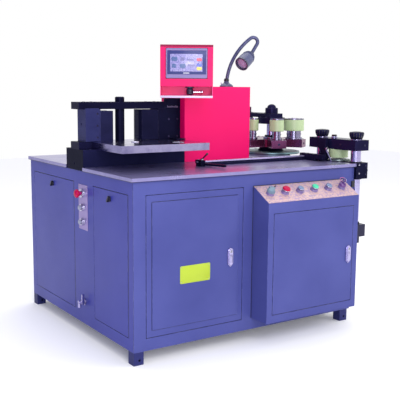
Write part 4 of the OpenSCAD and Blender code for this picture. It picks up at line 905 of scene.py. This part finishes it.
def fence_details():
    """Scale ticks on the fence's front face, its screws, and the stop's pivot, lever knob and screw."""
    parts = []
    for i in range(64):
        x, tall = 556 + 10 * i, 4 if i % 5 else (6.5 if i % 10 else 9)
        parts.append((block((x, x + 0.9), (287.6, 288.1), (861.6 - tall, 861.6)), etched_dark))
    parts += screws([(x, 297, 862) for x in (640, 860, 1080, 1190)], UP, 3.6, 1.6)
    parts += screws([(1229, 215, 874), (1229, 275, 874)], UP, 5, 2)
    piece("fence_scale", parts, "frame")
    grip = [(0, -5), (4, -3), (5.4, 0), (5.4, 5), (4, 9), (0, 11)]
    parts = [(ring(6.6, 9, 869, 874, (535, 273, 0), edge=0.8), zinc),
             (lathe(grip, (561.5, 273, 894.5), (0.766, 0, 0.643)), knob_black),
             *pans([(532, 300, 868.8)], UP, 4)]
    piece("fence_stop_fittings", parts, "fence_stop")


# ---------------------------------------------------------------- control panel

CAP_LOW = 19.5
CAPS = ((1, "stop_button", 19, 31.5, stop_red), (2, "jog_button", 15, 27.5, button_blue),
        (3, "start_button", 16, 30.5, start_mint), (4, "reset_button", 15, 27.5, button_blue))


def control_rims():
    """Collars round the controls, the plate's corner screws, and marks beside the two that turn."""
    collar = [(11.4, 15.2), (17.2, 15.2), (18.4, 14), (18.6, 9), (17.9, 8.4), (18.6, 7.8), (19.6, 4.5),
              (20.4, 2.4), (20.4, 2), (11.4, 2)]
    parts = [(moved(lathe(collar), on_panel(i)), collar_purple) for i in range(6)]
    corners = pans(product((-278, 278), (-56, 56), (2,)), UP, 3.6)
    parts += carried(corners, Matrix.Translation((936, *BOX_TOP)) @ SLOPE)
    for i, side in product((0, 5), (-40, 40)):
        tick = block((-0.8, 0.8), (24, 31), (2, 2.4))
        parts.append((moved(tick, on_panel(i) @ spun(side)), etched_dark))
    piece("control_rims", parts, "frame")


def caps():
    """Domed caps of the buttons, the selector's grip and pointer, and the key with its ring."""
    for i, name, r, high, stuff in CAPS:
        dome = [(0, high + 1.6), (r * 0.5, high + 1.2), (r * 0.85, high - 0.6), (r + 0.3, high - 3.5),
                (r + 0.3, CAP_LOW + 1), (r - 1, CAP_LOW), (0, CAP_LOW)]
        rim = ring(r - 0.5, r + 1.6, CAP_LOW - 0.2, CAP_LOW + 3.6, edge=0.9)
        piece(name + "_cap", [(lathe(dome), stuff), (rim, rim_metal)], name, on_panel(i))
    grip = moved(block((-12, 12), (-22, 22), (22, 34), 3.0, 3), spun(-52))
    arm = moved(block((18, 49), (-3.4, 3.4), (24.6, 29.4), 1.0), spun(32))
    skirt = lathe([(0, 24), (17.5, 24), (20.4, 21), (20.4, 15.6), (0, 15.6)])
    piece("mode_switch_grip", [(grip, teal_plastic), (arm, knob_black), (skirt, teal_plastic)],
          "mode_switch", on_panel(0))
    plug = lathe([(0, 30), (13, 30), (15.4, 28.5), (17.6, 26), (18.4, 22), (18.4, 15.6), (0, 15.6)])
    blade = block((-1.2, 1.2), (-5, 5), (29, 40), 0.4)
    bow = moved(ring(4.5, 10.5, -1.4, 1.4), stand((0, 0, 48), RIGHT))
    hoop = moved(ring(11, 14.5, -1.2, 1.2, edge=0.8), stand((2, 12, 44), (0.9, 0.3, 0.3)))
    piece("key_switch_key", [(plug, key_purple), (blade, chrome), (bow, chrome), (hoop, pink_plastic)],
          "key_switch", on_panel(5) @ spun(20))


# ---------------------------------------------------------------- cabinet

def door_details():
    """Blank label plate and a painted shadow line round the raised field of the tool door, and the lock
    cylinders of the flush handles.
    """
    label = moved(flat(rounded(164, 82, 6), 0, 0.8, 0.2), Matrix.Translation((319, -3, 383)) @ STOOD_UP)
    parts = [(label, label_yellow), *pans(product((244, 394), (-3.8,), (349, 417)), FRONT, 2.2, 1.0)]
    # painted shadow: dark strips just outside the raised field's outline
    for x, z in (((93, 559), (147.8, 150)), ((93, 559), (727, 729.2)),
                 ((90.8, 93), (150, 727)), ((559, 561.2), (150, 727))):
        parts.append((block(x, (-0.4, 0.2), z, 0.1), seam_shadow))
    piece("tool_door_label", parts, "tool_door")
    for name, x, y, z in (("tool_handle", 513, -14.3, 464), ("ebox_handle", 1161, -131.3, 426)):
        lock = lathe([(0, 1.6), (6.4, 1.6), (7.4, 0.8), (7.8, -0.6), (0, -0.6)])
        slit = block((-0.9, 0.9), (-4.2, 4.2), (1.5, 1.9))
        grip = flat(rounded(13, 42, 5), -0.4, 1.6, 0.7)
        parts = carried([(lock, zinc), (slit, black_plastic)], stand((x, y, z), FRONT))
        parts += carried([(grip, chrome)], stand((x, y, z - 34), FRONT))
        piece(name + "_lock", parts, name)


def on_side(z):
    """The frame of a control on the left side, Z out of it."""
    return stand((0, SIDE_CONTROLS, z), LEFT)


def side_details():
    """Rims and heads of the side controls, the strip's screws, the drain's hexagon, a clip, and dark strips
    painted as shadow lines along the electrical box.
    """
    parts = []
    for z, r in ((714, 21.5), (644, 17.6), (574, 17.6)):
        rim = [(11.4, 15.2), (r - 1.2, 15.2), (r, 14), (r, 9), (r - 0.7, 8.4), (r, 7.8), (r + 1.2, 2),
               (11.4, 2)]
        parts.append((moved(lathe(rim), on_side(z)), rim_metal))
    parts += pans(product((-2,), (460, 545), (543, 746)), LEFT, 3.4)
    parts.append((hexagon((-4, SIDE_CONTROLS, 174), LEFT, 15, 8), zinc))
    parts.append((block((1287, 1309), (-6, 0), (716, 748), 1.5), black_plastic))
    # dark strips painted as shadow lines where the electrical box meets the cabinet, along its top and its
    # left edge
    parts.append((block((646, 1226), (-3.2, 0), (760, 764), 0.6), black_plastic))
    parts.append((block((643.8, 646.9), (-2.6, 0), (117, 764), 0.6), seam_shadow))
    piece("cabinet_fittings", parts, "frame")
    head = [(0, 46.6), (8, 46.2), (13, 44.6), (17.6, 41.4), (20.5, 37), (20.6, 30.4), (14.4, 26), (0, 26)]
    piece("side_estop_head", [(lathe(head), stop_red)], "side_estop", on_side(714))
    for name, z in (("side_button_upper", 644), ("side_button_lower", 574)):
        cap = lathe([(0, 26.6), (6, 26.2), (10.4, 25), (12.3, 22.6), (12.3, 19.8), (0, 19.8)])
        piece(name + "_cap", [(cap, button_grey)], name, on_side(z))


def tower_details():
    """Screws of the red cover, and the hoods over its louvres."""
    parts = []
    for z in (858, 1206):
        parts += pans([(992, 506, z), (992, 710, z)], RIGHT, 4)
        parts += pans([(x, 728, z) for x in (588, 780, 974)], BACK, 4)
    for z in range(1040, 1166, 14):
        parts.append((block((700, 860), (727.6, 731), (z, z + 5), 1.4), tower_red))
        parts.append((block((702, 858), (727.8, 728.6), (z - 4, z), 0.2), black_plastic))
    piece("tower_screws", parts, "frame")


def inside_details():
    """Breaker levers, terminals and lamps behind the box door."""
    parts = []
    top, mid, low = 538, 395.5, 216
    for x in range(727, 951, 56):
        parts.append((block((x + 18, x + 32), (-86, -76), (mid - 8, mid + 12), 1.5), black_plastic))
        parts.append((block((x + 6, x + 44), (-77.2, -76), (mid + 20, mid + 34), 0.4), label_plate))
        parts += pans(product((x + 10, x + 25, x + 40), (-76,), (mid - 35, mid + 35)), FRONT, 3.2)
    for i in range(12):
        x = 747 + 26 * i
        parts += pans([(x + 11, -61, low - 19), (x + 11, -61, low + 19)], FRONT, 3)
        wire = green_plastic if i % 4 == 3 else button_blue
        parts.append((block((x + 3, x + 19), (-61.8, -61), (low - 6, low + 6), 0.2), wire))
    parts.append((block((745, 895), (-84, -83), (top - 30, top + 32), 0.4), label_plate))
    for i in range(8):
        parts.append((rod((756 + 10 * i, -83, top + 38), FRONT, 1.6, 2.2, sides=12), start_mint))
    for z in range(top - 40, top + 44, 14):
        parts.append((block((955, 1013), (-83.8, -83), (z, z + 5), 0.3), black_plastic))
    piece("switchgear_details", parts, "frame")


for make in (press_pad, console_screen, console_trim, swivel_fittings, lamp_details, bender_fastenings,
             mandrel_details, turret_details, punch_fittings, press_fittings, fixed_press_fittings,
             fence_details, control_rims, caps, door_details, side_details, tower_details,
             inside_details):
    make()


# ---------------------------------------------------------------- floor, light and camera

# each light: its place, what it is aimed at, its width and height in metres, and its watts
LIGHTS = {
    "key_soft_box": ((-1.6, -4.4, 3.4), (0, 0, 0.6), (3.0, 2.4), 80),
    "fill_soft_box": ((3.2, -3.6, 2.6), (0.2, 0, 0.6), (2.6, 2.2), 40),
    "front_soft_box": ((-2.4, -4.2, 1.3), (0, 0, 0.8), (1.6, 1.2), 50),
    "top_soft_box": ((0.3, 0.8, 4.2), (0, 0, 0.8), (3.2, 3.2), 50),
}
CAMERA = (-1524.85, -2814.42, 1226.72)
HEADING, DIP, ROLL = -33.58, 8.545, 0.483


def area_light(name, where, aim, size, watts):
    lamp = bpy.data.lights.new(name, "AREA")
    lamp.shape = "RECTANGLE"
    lamp.size, lamp.size_y = size
    lamp.energy = watts
    obj = shown(name, lamp)
    obj.location = where
    obj.rotation_euler = (Vector(aim) - Vector(where)).to_track_quat("-Z", "Y").to_euler()


def floor():
    bm = bmesh.new()
    bmesh.ops.create_grid(bm, x_segments=1, y_segments=1, size=9.0)
    mesh = bpy.data.meshes.new("floor")
    bm.to_mesh(mesh)
    bm.free()
    obj = shown("floor", mesh)
    mat = bpy.data.materials.new("pale_floor")
    shader = surface(mat)[1]
    pale = hue(254, 254, 254)
    for socket, value in (("Base Color", pale), ("Emission Color", pale), ("Emission Strength", 0.1),
                          ("Roughness", 0.9)):
        shader[socket].default_value = value
    mesh.materials.append(mat)


def light_and_camera():
    """A studio that is dimmer to the left, four soft lights, and the camera."""
    scene = bpy.context.scene
    world = bpy.data.worlds.new("studio")
    scene.world = world
    world.use_nodes = True
    t = Tree(world.node_tree)
    across = t.add("SeparateXYZ", t.add("TexCoord").outputs["Generated"]).outputs["X"]
    sky = world.node_tree.nodes["Background"].inputs
    t.join(t.blend(t.ramp(across, -0.9, 0.1), (0.36, 0.37, 0.6, 1.0), (1.0, 1.0, 1.0, 1.0)), sky["Color"])
    sky["Strength"].default_value = 1.0
    for name, settings in LIGHTS.items():
        area_light(name, *settings)
    lens = bpy.data.cameras.new("camera")
    lens.sensor_width = 36.0
    lens.lens = 67.9
    camera = shown("camera", lens)
    camera.matrix_world = Matrix.Translation(at(*CAMERA)) @ spun(HEADING) @ spun(90 - DIP, "X") @ spun(ROLL)
    scene.camera = camera
    scene.view_settings.view_transform = "Standard"


floor()
light_and_camera()
